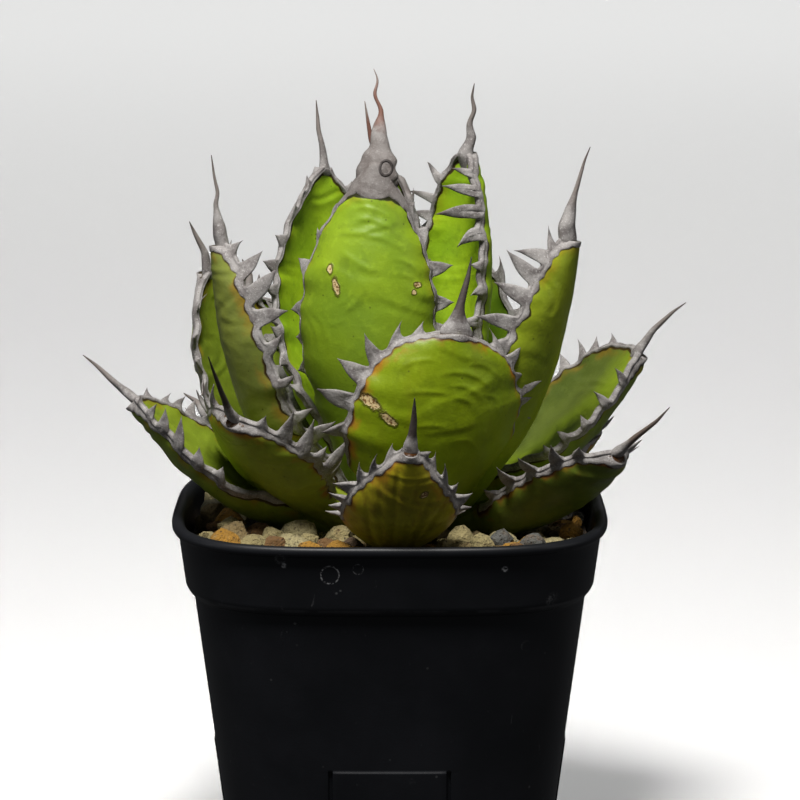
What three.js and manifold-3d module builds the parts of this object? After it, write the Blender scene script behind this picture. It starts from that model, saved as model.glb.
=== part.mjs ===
// A potted agave: a rosette of thick, cupped leaves with horny toothed margins and long end spines,
// growing from a short stem in a square plastic nursery pot filled with soil and dressed with gravel.
// Millimetres, Z up. The origin is the middle of the pot's foot, and the front of the pot faces -Y.
import * as THREE from 'three';
import { mergeVertices } from 'three/addons/utils/BufferGeometryUtils.js';
import Module from 'manifold-3d';

const wasm = await Module();
wasm.setup();

// Driving dimensions of the pot
const POT_HEIGHT = 92;
const RIM_HALF_WIDTH = 52.5;
const COLLAR_BOTTOM = 76;
const COLLAR_INSIDE = 49.5;
const COLLAR_INSIDE_TOP = 90.8;
const COLLAR_INSIDE_TAPER = 0.127;
const WALL_SET_IN = 4.8;
const WALL_TAPER = 0.128;
const WALL_THICKNESS = 1.6;
const FLOOR_THICKNESS = 2;
const PLAN_EXPONENT = 3.58;
const PLAN_SIDES = 36;
const PANEL_WIDTH = 27;
const PANEL_HEIGHT = 38.5;
const PANEL_PROUD = 0.4;
const GROOVE_WIDTH = 1.1;
const GROOVE_DEPTH = 0.9;

// Driving dimensions of the filling
const CLEARANCE = 0.3;
const SOIL_TOP = 78;
const BED_TOP = 85.4;
const STONE_SPACING = 7.3;
const STONE_SEED = 20;
const STEM_ROOM = 16.6;
const STEM_RADIUS = 19;
const STEM_TOP = 97.3;
const STEM_FOOT = 66;

// Driving dimensions shared by all the leaves
const EDGE_THICKNESS = 1.3;
const MARGIN_WIDTH = 1.5;
const TIP_HALF_WIDTH = 1.3;
const ROOT_SINK = 7;
const SPINE_SIDES = 6;

const DEGREE = Math.PI / 180;

// Small vector helpers on plain arrays of three numbers
const add = (a, b) => [a[0] + b[0], a[1] + b[1], a[2] + b[2]];
const scale = (a, k) => [a[0] * k, a[1] * k, a[2] * k];
const mix3 = (o, a, p, b, q, c, r) => add(add(o, scale(a, p)), add(scale(b, q), scale(c, r)));
const unit = (a) => scale(a, 1 / Math.hypot(a[0], a[1], a[2]));
function cross(a, b) {
  return [
    a[1] * b[2] - a[2] * b[1],
    a[2] * b[0] - a[0] * b[2],
    a[0] * b[1] - a[1] * b[0],
  ];
}
function smooth(from, to, x) {
  const u = Math.min(1, Math.max(0, (x - from) / (to - from)));
  return u * u * (3 - 2 * u);
}
function hash(k, seed) {
  const v = Math.sin(k * 12.9898 + seed * 78.233) * 43758.5453;
  return v - Math.floor(v);
}

// The leaves, from the heart of the rosette outwards.
// azimuth: compass angle of the leaf from +X, degrees; root: radius and height of the midrib's start.
// rise: angle of the midrib above level at the root and at the tip; roll and sweep turn it aside.
// cup: half angle of the gutter-shaped cross section at the root and beyond.
const SHARED = {
  widthAtRoot: 0.5, widest: 0.55, blunt: 2.2, sharp: 0.75, cup: [60, 35], roll: 0, sweep: 0,
  thick: 5, spine: 17, spineSide: 0, spineRise: 0, wave: 1, tooth: [6.5, 6.5],
  flare: [0.4, 0.4], spacing: 5.8, columns: 4,
};
const LEAVES = [
  // Two narrow leaves still upright in the heart
  { azimuth: -170, root: [2.4, 96], rise: [88, 92], length: 50, halfWidth: 6, cup: [75, 60],
    thick: 3.4, spine: 9, tooth: [2.4, 2.4], spacing: 8 },
  { azimuth: 80, root: [5.2, 96], rise: [86, 92], length: 75, halfWidth: 9.5, cup: [70, 60],
    thick: 3.8, spine: 14, spineSide: 22, tooth: [3.2, 3.2], spacing: 8 },
  // Tall front leaf, seen from outside
  { azimuth: -114, root: [6.1, 94.6], rise: [66.8, 112], length: 82.7, halfWidth: 17.7,
    cup: [70, 47], roll: 17.8, spine: 22.7, spineSide: -27, spineRise: -3.6, tooth: [5.4, 3],
    sharp: 1.05, wave: 1.2, columns: 6, flare: [0.3, 1] },
  // Tall leaf behind on the left, seen from inside
  { azimuth: 126.9, root: [8.1, 96.6], rise: [47.3, 90.4], length: 81, halfWidth: 20.5, cup: [70, 24],
    roll: 9.5, sweep: -7.1, spine: 17.2, spineSide: 21.2, spineRise: -21.6, tooth: [3.8, 3.8] },
  // Tall leaf behind on the right, seen nearly edge on
  { azimuth: 33.3, root: [8.4, 94.7], rise: [64.5, 96.6], length: 83.7, halfWidth: 13.6,
    cup: [70, 42.5], roll: 2.6, spine: 17.4, spineSide: -18.8, spineRise: -24.1, tooth: [8, 7.4],
    flare: [0.4, 2.6], spacing: 5 },
  // Inner back leaf, hidden behind the tall front leaf
  { azimuth: 92, root: [11.5, 95], rise: [66, 88], length: 66, halfWidth: 15, cup: [50, 42],
    spine: 12, widthAtRoot: 0.4, spacing: 6.8 },
  // Upright left leaf
  { azimuth: -153.3, root: [13.1, 92.3], rise: [41.7, 89.2], length: 73.8, halfWidth: 12.5,
    cup: [70, 37.5], roll: -12.4, sweep: -2.7, spine: 17.8, spineSide: -1.3, spineRise: -10.2,
    tooth: [9.6, 6], spacing: 6.2, flare: [0.7, 0.4] },
  // Upright right leaf
  { azimuth: -24.8, root: [13.1, 92.1], rise: [45.1, 83.8], length: 75.2, halfWidth: 13.8,
    cup: [70, 37.5], sweep: 3.3, spine: 22.3, spineSide: 4.2, spineRise: -6.6,
    tooth: [6, 9.8], spacing: 6.6, flare: [0.4, 0.6] },
  // Broad leaf in the middle of the front
  { azimuth: -72.5, root: [17.4, 94], rise: [29.3, 100], length: 53, halfWidth: 22.5,
    cup: [55, 33], roll: 3.5, sweep: 4, spine: 19.2, spineSide: 5.3, spineRise: -2.2,
    sharp: 0.5, tooth: [8.2, 8.8], spacing: 5.2, wave: 0.3, columns: 6, flare: [0.2, 0.2] },
  // Far left leaf behind the upright left one
  { azimuth: 153.9, root: [16.3, 91.3], rise: [34.9, 86.2], length: 65.5, halfWidth: 19.2,
    cup: [60, 28.1], roll: -10.9, sweep: 5, spine: 13.8, spineSide: 14.2, spineRise: -13.5 },
  // Middle back leaves
  { azimuth: 112, root: [17, 93], rise: [42, 80], length: 60, halfWidth: 17, cup: [55, 38],
    spine: 15, widthAtRoot: 0.42, spacing: 6.8 },
  { azimuth: 60, root: [18, 92], rise: [42, 84], length: 61, halfWidth: 17, cup: [55, 38],
    spine: 15, widthAtRoot: 0.42, spacing: 6.8 },
  { azimuth: 135, root: [21, 91], rise: [36, 80], length: 56, halfWidth: 16.5, cup: [52, 38],
    spine: 10, widthAtRoot: 0.42, spacing: 6.8 },
  // Low front left leaf
  { azimuth: -147, root: [21.1, 95.5], rise: [28.3, 52.7], length: 36.5, halfWidth: 16.1,
    cup: [50, 24], roll: 6, sweep: 8.9, spine: 22.9, spineSide: -9.6, tooth: [7, 7], spacing: 5.2,
    wave: 0.3 },
  // Low right leaf, seen from inside
  { azimuth: 15.6, root: [20.3, 94], rise: [20.5, 58.8], length: 53.9, halfWidth: 20.2,
    cup: [50, 26.2], sweep: -7.2, spine: 17, spineSide: -7.4, spineRise: -17.1, tooth: [6, 6],
    wave: 0.3 },
  // Lowest left leaf, seen from inside
  { azimuth: -160, root: [22.5, 90.3], rise: [23.3, 50.8], length: 49.2, halfWidth: 14.5,
    cup: [50, 24], roll: -18.7, sweep: -9.4, spine: 16.3, spineSide: 2.7, spineRise: -12.8,
    tooth: [5.5, 5.5], wave: 0.3 },
  // Short leaf at the bottom of the front
  { azimuth: -87.7, root: [24.9, 91.8], rise: [-2, 74], length: 44, halfWidth: 13.3,
    cup: [45, 20], roll: -1.8, sweep: 2.4, spine: 13.6, spineSide: -14.2, tooth: [4.6, 4.6],
    spacing: 4.8, wave: 0.3, sharp: 0.7, widest: 0.5, columns: 6 },
  // Lowest right leaf, turned so that its outer face shows
  { azimuth: -27, root: [25.5, 91], rise: [12, 44], length: 43, halfWidth: 13, cup: [50, 36],
    roll: -16, sweep: -7, spine: 17, spineRise: 12, tooth: [6.4, 6.4], spacing: 6.2, wave: 0.3 },
  // Lowest back leaves
  { azimuth: 90, root: [25, 90.6], rise: [14, 50], length: 47, halfWidth: 16, cup: [50, 34],
    spine: 15, tooth: [5.5, 5.5], spacing: 6.6 },
  { azimuth: 35, root: [25.5, 91], rise: [8, 34], length: 40, halfWidth: 15, cup: [50, 34],
    spine: 12, tooth: [5.5, 5.5], spacing: 6.6 },
  { azimuth: 140, root: [25.5, 91], rise: [10, 36], length: 38, halfWidth: 14, cup: [50, 34],
    spine: 10, tooth: [5.5, 5.5], spacing: 6.6 },
].map((leaf) => ({ ...SHARED, ...leaf }));

// Half width of the blade at a fraction s of its length
function halfWidthAt(leaf, s) {
  const c = Math.min(1, Math.max(0, s));
  const low = leaf.widthAtRoot
    + (1 - leaf.widthAtRoot) * Math.sin((Math.PI / 2) * Math.min(1, c / leaf.widest));
  const v = Math.max(0, (c - leaf.widest) / (1 - leaf.widest));
  const high = Math.max(0, 1 - v ** leaf.blunt) ** leaf.sharp;
  const share = c < leaf.widest ? low : high;
  return leaf.halfWidth * share + TIP_HALF_WIDTH * smooth(0.75, 1, c);
}

// Point and directions of the midrib: along, sideways and towards the inner face
function midrib(leaf, s) {
  const c = Math.min(1, Math.max(0, s));
  const over = (s - c) * leaf.length;
  const turn = (leaf.rise[1] - leaf.rise[0]) * DEGREE;
  const start = leaf.rise[0] * DEGREE;
  const rise = start + turn * c;
  const out = [Math.cos(leaf.azimuth * DEGREE), Math.sin(leaf.azimuth * DEGREE), 0];
  const side = [-out[1], out[0], 0];
  const up = [0, 0, 1];
  const reach = leaf.root[0] + (leaf.length * (Math.sin(rise) - Math.sin(start))) / turn
    + over * Math.cos(rise);
  const height = leaf.root[1] - (leaf.length * (Math.cos(rise) - Math.cos(start))) / turn
    + over * Math.sin(rise);
  const point = mix3([0, 0, 0], out, reach, up, height, side, leaf.sweep * c * c);
  const drift = (2 * leaf.sweep * c) / leaf.length;
  const along = unit(mix3([0, 0, 0], out, Math.cos(rise), up, Math.sin(rise), side, drift));
  const plain = mix3([0, 0, 0], out, -Math.sin(rise), up, Math.cos(rise), side, 0);
  const across = unit(cross(plain, along));
  const inner = cross(along, across);
  const roll = leaf.roll * DEGREE * smooth(0, 0.5, c);
  return {
    point,
    along,
    across: mix3([0, 0, 0], across, Math.cos(roll), inner, Math.sin(roll), up, 0),
    inner: mix3([0, 0, 0], across, -Math.sin(roll), inner, Math.cos(roll), up, 0),
  };
}

// Point of the cupped leaf at s along and t across, lifted off the inner face
function bladePoint(leaf, s, t, lift, beyond = 0) {
  const m = midrib(leaf, s);
  const cup = (leaf.cup[0] + (leaf.cup[1] - leaf.cup[0]) * smooth(0, 0.45, s)) * DEGREE;
  const radius = halfWidthAt(leaf, s) / cup;
  const a = cup * t;
  const x = radius * Math.sin(a) - lift * Math.sin(a) + beyond * Math.cos(a);
  const y = radius * (1 - Math.cos(a)) + lift * Math.cos(a) + beyond * Math.sin(a);
  return mix3(m.point, m.across, x, m.inner, y, m.along, 0);
}

// Thickness of the blade at s along and t across
function thicknessAt(leaf, s, t) {
  const crown = leaf.thick * (1 - 0.55 * smooth(0.3, 1, s));
  return crown * Math.max(0, 1 - t * t) ** 0.8 + EDGE_THICKNESS;
}

// Point of the horny margin: beyond the edge, along the leaf and off its plane, in millimetres.
// Beyond is measured square to the curved edge, so the margin keeps its width round the tip.
function marginPoint(leaf, s, sign, beyond, forward, lift) {
  const m = midrib(leaf, s);
  const cup = (leaf.cup[0] + (leaf.cup[1] - leaf.cup[0]) * smooth(0, 0.45, s)) * DEGREE;
  const step = 0.01;
  const from = halfWidthAt(leaf, s - step);
  const slope = Math.max(-3, (halfWidthAt(leaf, s + step) - from) / (2 * step * leaf.length));
  const square = 1 / Math.hypot(1, slope);
  const aim = (angle, distance, off) => {
    const outward = mix3([0, 0, 0], m.across, sign * Math.cos(angle) * square,
      m.inner, Math.sin(angle) * square, m.along, -slope * square);
    const lifted = mix3([0, 0, 0], m.across, -sign * Math.sin(angle), m.inner, Math.cos(angle),
      m.along, 0);
    return mix3([0, 0, 0], outward, distance, lifted, off, m.along, 0);
  };
  const edge = bladePoint(leaf, s, sign, 0, 0);
  if (beyond <= 0) return add(edge, aim(cup, CLEARANCE + beyond, lift));
  const flare = cup * leaf.flare[sign > 0 ? 0 : 1];
  const base = add(edge, aim(cup, CLEARANCE, 0));
  return mix3(add(base, aim(flare, beyond, lift)), m.along, forward, m.along, 0, m.along, 0);
}

// Turns points and triangles into a closed solid with its faces outwards
function solid(points, faces) {
  let volume = 0;
  for (const [a, b, c] of faces) {
    const n = cross(points[b], points[c]);
    volume += points[a][0] * n[0] + points[a][1] * n[1] + points[a][2] * n[2];
  }
  const tris = volume < 0 ? faces.map(([a, b, c]) => [a, c, b]) : faces;
  const mesh = new wasm.Mesh({
    numProp: 3,
    vertProperties: new Float32Array(points.flat()),
    triVerts: new Uint32Array(tris.flat()),
  });
  mesh.merge();
  return new wasm.Manifold(mesh);
}

// Closed rings joined one to the next, with both ends capped from their first corner
function loft(rings) {
  const count = rings[0].length;
  const faces = [];
  for (let i = 0; i + 1 < rings.length; i += 1) {
    for (let j = 0; j < count; j += 1) {
      const a = i * count + j;
      const b = i * count + ((j + 1) % count);
      faces.push([a, b, b + count], [a, b + count, a + count]);
    }
  }
  const last = (rings.length - 1) * count;
  for (let j = 1; j + 1 < count; j += 1) {
    faces.push([0, j + 1, j], [last, last + j, last + j + 1]);
  }
  return solid(rings.flat(), faces);
}

// Rows of the blade along its length; each span between rows carries two teeth on either edge
function rowsOf(leaf) {
  const first = 0.1;
  const last = 0.965;
  const count = Math.max(2, Math.round(((last - first) * leaf.length) / (2 * leaf.spacing)));
  const rows = [];
  for (let k = 0; k <= count; k += 1) {
    rows.push(first + ((last - first) * k) / count);
  }
  return rows;
}

// The green blade of a leaf; grow swells it all round for cutting its neighbours
function blade(leaf, grow = 0) {
  const stations = [-(ROOT_SINK + grow) / leaf.length, ...rowsOf(leaf), 1 + grow / leaf.length];
  const points = [];
  const faces = [];
  const columns = leaf.columns;
  for (const s of stations) {
    for (const face of [0, 1]) {
      for (let j = 0; j <= columns; j += 1) {
        const t = -1 + (2 * j) / columns;
        const beyond = Math.abs(t) === 1 ? t * grow : 0;
        const top = EDGE_THICKNESS / 2 + grow;
        const bottom = EDGE_THICKNESS / 2 - thicknessAt(leaf, s, t) - grow;
        points.push(bladePoint(leaf, s, t, face ? bottom : top, beyond));
      }
    }
  }
  const row = 2 * (columns + 1);
  const under = columns + 1;
  for (let i = 0; i + 1 < stations.length; i += 1) {
    const a = i * row;
    const b = a + row;
    for (let j = 0; j < columns; j += 1) {
      faces.push([a + j, b + j, b + j + 1], [a + j, b + j + 1, a + j + 1]);
      const p = a + under + j;
      const q = b + under + j;
      faces.push([p, q + 1, q], [p, p + 1, q + 1]);
    }
    faces.push([a, a + under, b + under], [a, b + under, b]);
    const r = a + columns;
    const t = b + columns;
    faces.push([r, t, t + under], [r, t + under, r + under]);
  }
  const end = (stations.length - 1) * row;
  for (let j = 0; j < columns; j += 1) {
    faces.push([j, j + 1, under + j + 1], [j, under + j + 1, under + j]);
    faces.push([end + j, end + under + j + 1, end + j + 1], [end + j, end + under + j, end + under + j + 1]);
  }
  return solid(points, faces);
}

// Length, lean and curl of one tooth; the teeth are longest above the middle of the leaf
function toothShape(leaf, index, sign, k, s) {
  const seed = (index + (sign + 1) * 15) * 2.7;
  const size = leaf.tooth[sign > 0 ? 0 : 1];
  const share = (0.3 + 0.7 * smooth(0.1, 0.5, s)) * (1 - 0.25 * smooth(0.8, 1, s));
  return {
    length: size * share * (0.8 + 0.4 * hash(k + 1, seed)),
    lean: leaf.spacing * (0.5 * hash(k + 1, seed + 0.31) - 0.2),
    curl: size * (0.4 * hash(k + 1, seed + 0.63) - 0.16),
  };
}

// One side of the horny margin: a narrow strip with two hooked teeth on each span
function marginStrip(leaf, index, sign, grow = 0) {
  const rows = [...rowsOf(leaf), 1 + 1.2 / leaf.length];
  const half = EDGE_THICKNESS / 2 + grow;
  const points = [];
  const faces = [];
  const outline = [];
  // Upper and lower corner at a share of the span from row k to the next
  const pair = (k, share, beyond, forward, lift, thin) => {
    for (const way of [1, -1]) {
      const from = marginPoint(leaf, rows[k], sign, beyond, forward, lift + way * thin);
      const next = rows[Math.min(k + 1, rows.length - 1)];
      const to = marginPoint(leaf, next, sign, beyond, forward, lift + way * thin);
      points.push(mix3([0, 0, 0], from, 1 - share, to, share, to, 0));
    }
    return points.length - 2;
  };
  const both = (a, b, c) => {
    faces.push([a, b, c], [a + 1, c + 1, b + 1]);
  };
  const inner = rows.map((s, k) => pair(k, 0, -grow, 0, 0, half));
  const outer = rows.map((s, k) => pair(k, 0, MARGIN_WIDTH + grow, 0, 0, half * 0.85));
  for (let k = 0; k + 1 < rows.length; k += 1) {
    outline.push(outer[k]);
    if (k === 0 || k + 2 === rows.length) {
      both(inner[k], outer[k], outer[k + 1]);
      both(inner[k], outer[k + 1], inner[k + 1]);
      continue;
    }
    const span = (rows[k + 1] - rows[k]) * leaf.length;
    const notch = pair(k, 0.5, MARGIN_WIDTH + grow, 0, 0, half * 0.85);
    both(inner[k], outer[k], notch);
    both(inner[k], notch, inner[k + 1]);
    both(notch, outer[k + 1], inner[k + 1]);
    for (const tooth of [0, 1]) {
      const shape = toothShape(leaf, index, sign, 2 * k + tooth, rows[k]);
      const share = 0.25 + 0.5 * tooth;
      const flank = MARGIN_WIDTH + shape.length * 0.4 + grow;
      const belly = pair(k, share, flank, shape.lean * 0.3 - span * 0.1 - grow, 0, half * 0.7);
      const reach = MARGIN_WIDTH + shape.length + 2 * grow;
      const tip = pair(k, share, reach, shape.lean * 1.5, shape.curl, 0.2 + grow);
      const [from, to] = tooth ? [notch, outer[k + 1]] : [outer[k], notch];
      both(from, belly, to);
      both(belly, tip, to);
      outline.push(belly, tip);
      if (tooth === 0) outline.push(notch);
    }
  }
  outline.push(outer[outer.length - 1]);
  const loop = [...outline, ...inner.slice().reverse()];
  loop.forEach((a, i) => {
    const b = loop[(i + 1) % loop.length];
    faces.push([a, a + 1, b + 1], [a, b + 1, b]);
  });
  return solid(points, faces);
}

// The horny tip and the end spine, round in section and slightly wavy
function hornTip(leaf, grow = 0) {
  const tip = midrib(leaf, 1);
  const wide = TIP_HALF_WIDTH + CLEARANCE + MARGIN_WIDTH;
  const cup = leaf.cup[1] * DEGREE;
  const brim = (TIP_HALF_WIDTH / cup) * (1 - Math.cos(cup)) + CLEARANCE * Math.sin(cup);
  const rows = [
    [0, wide, 1.3 + brim * 0.3], [2.6, wide * 0.75, 1.5], [6, wide * 0.42, 1.25],
    [6 + (leaf.spine - 6) * 0.33, 0.95, 0.95], [6 + (leaf.spine - 6) * 0.67, 0.62, 0.62],
    [leaf.spine, 0.3, 0.3],
  ];
  const rings = rows.map(([distance, across, deep], i) => {
    const u = distance / leaf.spine;
    const start = CLEARANCE - grow;
    const weave = leaf.wave * Math.sin(2 * Math.PI * 1.3 * u) * u ** 1.2 * 1.2;
    const sway = (Math.tan(leaf.spineSide * DEGREE * u) * distance) / 2 + weave;
    const nod = (Math.tan(leaf.spineRise * DEGREE * u) * distance) / 2;
    const reach = start + distance + (i === rows.length - 1 ? 2 * grow : 0);
    const raised = nod + (brim * 0.6 - 0.3) * (1 - u);
    const centre = mix3(tip.point, tip.along, reach, tip.across, sway, tip.inner, raised);
    const ring = [];
    for (let j = 0; j < SPINE_SIDES; j += 1) {
      const a = (2 * Math.PI * j) / SPINE_SIDES;
      const w = (across + grow) * Math.cos(a);
      const d = (deep + grow) * Math.sin(a);
      ring.push(mix3(centre, tip.across, w, tip.inner, d, tip.along, 0));
    }
    return ring;
  });
  return loft(rings);
}

// The whole horny margin of a leaf: both strips and the spine as one body
function margin(leaf, index, grow = 0) {
  return wasm.Manifold.union([
    marginStrip(leaf, index, 1, grow),
    marginStrip(leaf, index, -1, grow),
    hornTip(leaf, grow),
  ]);
}

// A ring of the pot's rounded square plan at a height
function planRing(half, z, exponent = PLAN_EXPONENT) {
  const ring = [];
  for (let i = 0; i < PLAN_SIDES; i += 1) {
    const a = (2 * Math.PI * (i + 0.5)) / PLAN_SIDES;
    const x = Math.sign(Math.cos(a)) * Math.abs(Math.cos(a)) ** (2 / exponent);
    const y = Math.sign(Math.sin(a)) * Math.abs(Math.sin(a)) ** (2 / exponent);
    ring.push([half * x, half * y, z]);
  }
  return ring;
}

// Half width of the pot's outer wall below the collar
const wallAt = (z) => RIM_HALF_WIDTH - WALL_SET_IN - (COLLAR_BOTTOM - z) * WALL_TAPER;

// The pot: outer profile up, over the rolled lip, and down the inner profile to the floor
function pot() {
  const outer = [
    [wallAt(0) - 0.6, 0], [wallAt(1), 1], [wallAt(PANEL_HEIGHT), PANEL_HEIGHT],
    [wallAt(74.3), 74.3], [wallAt(75) + 0.9, 75.1], [49.5, 76.8],
    [51, 89.3], [52.3, 89.9], [RIM_HALF_WIDTH, 91.2], [51.6, POT_HEIGHT],
  ];
  const inner = [
    [50.2, POT_HEIGHT - 0.1], [COLLAR_INSIDE, COLLAR_INSIDE_TOP], [47.9, 77.8], [wallAt(75.4) - 0.9, 75.4],
    [wallAt(FLOOR_THICKNESS) - WALL_THICKNESS, FLOOR_THICKNESS],
  ];
  const body = loft([...outer, ...inner].map(([half, z]) => planRing(half, z)));
  const lean = Math.atan(WALL_TAPER);
  const middle = PANEL_HEIGHT / 2;
  let panels = body;
  for (let side = 0; side < 4; side += 1) {
    const place = (geometry, out, x, z) => {
      geometry.rotateX(lean);
      geometry.translate(x, -wallAt(z) - out, z);
      geometry.rotateZ((side * Math.PI) / 2);
      return fromGeometry(geometry);
    };
    const pad = new THREE.BoxGeometry(PANEL_WIDTH, 1.2 + PANEL_PROUD, PANEL_HEIGHT - 1);
    panels = panels.add(place(pad, PANEL_PROUD / 2 - 0.6, 0, middle));
    for (const x of [-1, 1]) {
      const groove = new THREE.BoxGeometry(GROOVE_WIDTH, 2 * GROOVE_DEPTH, PANEL_HEIGHT + 3);
      const at = x * (PANEL_WIDTH + GROOVE_WIDTH - 0.4) / 2;
      panels = panels.subtract(place(groove, 0, at, middle - 1.5));
    }
  }
  return panels;
}

// Soil filling the pot, with a plain hole for the stem
function soil(hole) {
  const half = (z) => wallAt(z) - WALL_THICKNESS - CLEARANCE;
  const rings = [
    planRing(half(FLOOR_THICKNESS + CLEARANCE) - 0.1, FLOOR_THICKNESS + CLEARANCE),
    planRing(half(74), 74),
    planRing(half(74) + 0.6, SOIL_TOP),
  ];
  return loft(rings).subtract(hole);
}

// The short stem that carries the leaves, and the same shape grown for the holes around it
function stem(grow = 0) {
  const profile = [
    [10, STEM_FOOT], [13, STEM_FOOT + 4], [14, 84], [16, 87.5], [STEM_RADIUS, 91],
    [17.8, 93.2], [14.5, 95.2], [10, 96.6], [4, STEM_TOP],
  ];
  const sides = 18;
  const rings = profile.map(([radius, z], i) => {
    const ring = [];
    for (let j = 0; j < sides; j += 1) {
      const a = (2 * Math.PI * j) / sides;
      const lift = i === 0 ? -grow : (i >= 5 ? grow : 0);
      ring.push([(radius + grow) * Math.cos(a), (radius + grow) * Math.sin(a), z + lift]);
    }
    return ring;
  });
  return loft(rings);
}

// A rough stone: a few flat faces, uneven, squashed and turned at random
function stone(x, y, z, radius, random) {
  const geometry = new THREE.IcosahedronGeometry(radius, 0);
  geometry.deleteAttribute('normal');
  geometry.deleteAttribute('uv');
  const joined = mergeVertices(geometry, 0.001);
  const position = joined.getAttribute('position');
  const flat = [1 + 0.25 * random(), 0.8 + 0.3 * random(), 0.75 + 0.25 * random()];
  for (let i = 0; i < position.count; i += 1) {
    const k = 0.84 + 0.3 * random();
    position.setXYZ(
      i,
      position.getX(i) * flat[0] * k,
      position.getY(i) * flat[1] * k,
      position.getZ(i) * flat[2] * k,
    );
  }
  joined.rotateX(random() * 0.9);
  joined.rotateZ(random() * 2 * Math.PI);
  joined.translate(x, y, z);
  return fromGeometry(joined);
}

// Seeded random numbers between nought and one
function randomFrom(seed) {
  let state = seed >>> 0;
  return () => {
    state = (state + 0x6d2b79f5) >>> 0;
    let v = state;
    v = Math.imul(v ^ (v >>> 15), v | 1);
    v ^= v + Math.imul(v ^ (v >>> 7), v | 61);
    return ((v ^ (v >>> 14)) >>> 0) / 4294967296;
  };
}

// Gravel dressing: a bed with rough stones rooted in it, kept clear of the leaves above
function gravel(hole, leafPoints) {
  const wall = (z) => (
    COLLAR_INSIDE - (COLLAR_INSIDE_TOP - z) * COLLAR_INSIDE_TAPER - CLEARANCE);
  const bed = loft([
    planRing(wall(SOIL_TOP) - 0.2, SOIL_TOP + CLEARANCE),
    planRing(wall(BED_TOP) - 0.2, BED_TOP),
  ]).subtract(hole);
  const random = randomFrom(STONE_SEED);
  const stones = [];
  const reach = 7;
  for (let i = -reach; i <= reach; i += 1) {
    for (let j = -reach; j <= reach; j += 1) {
      const radius = 2.9 + 1.4 * random();
      const x = (i + (j % 2) / 2 + (random() - 0.5) * 0.5) * STONE_SPACING;
      const y = (j * 0.87 + (random() - 0.5) * 0.5) * STONE_SPACING;
      const heap = x < 0 && y > 10 && Math.hypot(x + 42, y - 30) < 20 ? 2.2 : 0;
      let z = BED_TOP + 2 + 3 * random() + heap;
      const limit = wall(z) - radius * 1.25;
      const powers = Math.abs(x) ** PLAN_EXPONENT + Math.abs(y) ** PLAN_EXPONENT;
      const inside = powers ** (1 / PLAN_EXPONENT);
      if (inside > limit || Math.hypot(x, y) < STEM_ROOM + radius) continue;
      const clear = () => leafPoints.every((p) => (
        Math.hypot(p[0] - x, p[1] - y, p[2] - z) > radius * 1.25 + 0.5));
      while (z > BED_TOP - 1 && !clear()) z -= 0.4;
      if (z > BED_TOP - 1) stones.push(stone(x, y, z, radius, random));
    }
  }
  return wasm.Manifold.union([bed, ...stones]);
}

// Closed geometry to a solid
function fromGeometry(geometry) {
  const bare = geometry.clone();
  bare.deleteAttribute('normal');
  bare.deleteAttribute('uv');
  const joined = mergeVertices(bare, 0.0001);
  const mesh = new wasm.Mesh({
    numProp: 3,
    vertProperties: new Float32Array(joined.getAttribute('position').array),
    triVerts: new Uint32Array(joined.getIndex().array),
  });
  mesh.merge();
  return new wasm.Manifold(mesh);
}

// The largest connected body of a solid; loose scraps are dropped
function largest(body) {
  const parts = body.decompose();
  parts.sort((a, b) => b.volume() - a.volume());
  return parts[0];
}

function overlapping(a, b) {
  const p = a.boundingBox();
  const q = b.boundingBox();
  return [0, 1, 2].every((i) => p.min[i] < q.max[i] && q.min[i] < p.max[i]);
}

// A solid as a named mesh with its own material
function piece(name, body, colour, roughness) {
  const mesh = body.getMesh();
  const geometry = new THREE.BufferGeometry();
  geometry.setAttribute('position', new THREE.BufferAttribute(new Float32Array(mesh.vertProperties), 3));
  geometry.setIndex(new THREE.BufferAttribute(new Uint32Array(mesh.triVerts), 1));
  geometry.computeVertexNormals();
  const material = new THREE.MeshStandardMaterial({ color: colour, roughness, metalness: 0 });
  const result = new THREE.Mesh(geometry, material);
  result.name = name;
  return result;
}

const group = new THREE.Group();
group.name = 'potted_agave';

const hole = stem(CLEARANCE);
group.add(piece('pot', pot(), 0x14161b, 0.55));
group.add(piece('soil', soil(hole), 0x2a2019, 0.95));
group.add(piece('stem', stem(), 0x9aa06a, 0.8));

// Leaves are taken from the heart outwards; each gives way to the ones already standing
const standing = [{ body: stem(), grown: hole }];
LEAVES.forEach((leaf, index) => {
  const number = String(index + 1).padStart(2, '0');
  const parts = [
    [`leaf_${number}`, blade(leaf), blade(leaf, CLEARANCE), 0x7fa82c, 0.42],
    [`leaf_${number}_margin`, margin(leaf, index), margin(leaf, index, CLEARANCE), 0xa39c9a, 0.7],
  ];
  const placed = [];
  for (const [name, whole, grown, colour, roughness] of parts) {
    let body = whole;
    for (const other of standing) {
      if (overlapping(body, other.grown) && body.intersect(other.grown).volume() > 1e-6) {
        body = largest(body.subtract(other.grown));
      }
    }
    placed.push({ body, grown: grown.add(whole) });
    group.add(piece(name, body, colour, roughness));
  }
  standing.push(...placed);
});

const leafPoints = [];
for (const leaf of LEAVES) {
  for (let i = 0; i <= 24; i += 1) {
    for (let j = 0; j <= 8; j += 1) {
      const t = -1 + j / 4;
      const s = i / 24;
      leafPoints.push(bladePoint(leaf, s, t, EDGE_THICKNESS / 2 - thicknessAt(leaf, s, t), t * 1.5));
    }
  }
}
let dressing = gravel(hole, leafPoints);
for (const other of standing) {
  if (overlapping(dressing, other.grown) && dressing.intersect(other.grown).volume() > 1e-6) {
    dressing = dressing.subtract(other.grown);
  }
}
group.add(piece('gravel', largest(dressing), 0xb9a583, 0.9));

export default group;
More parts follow.
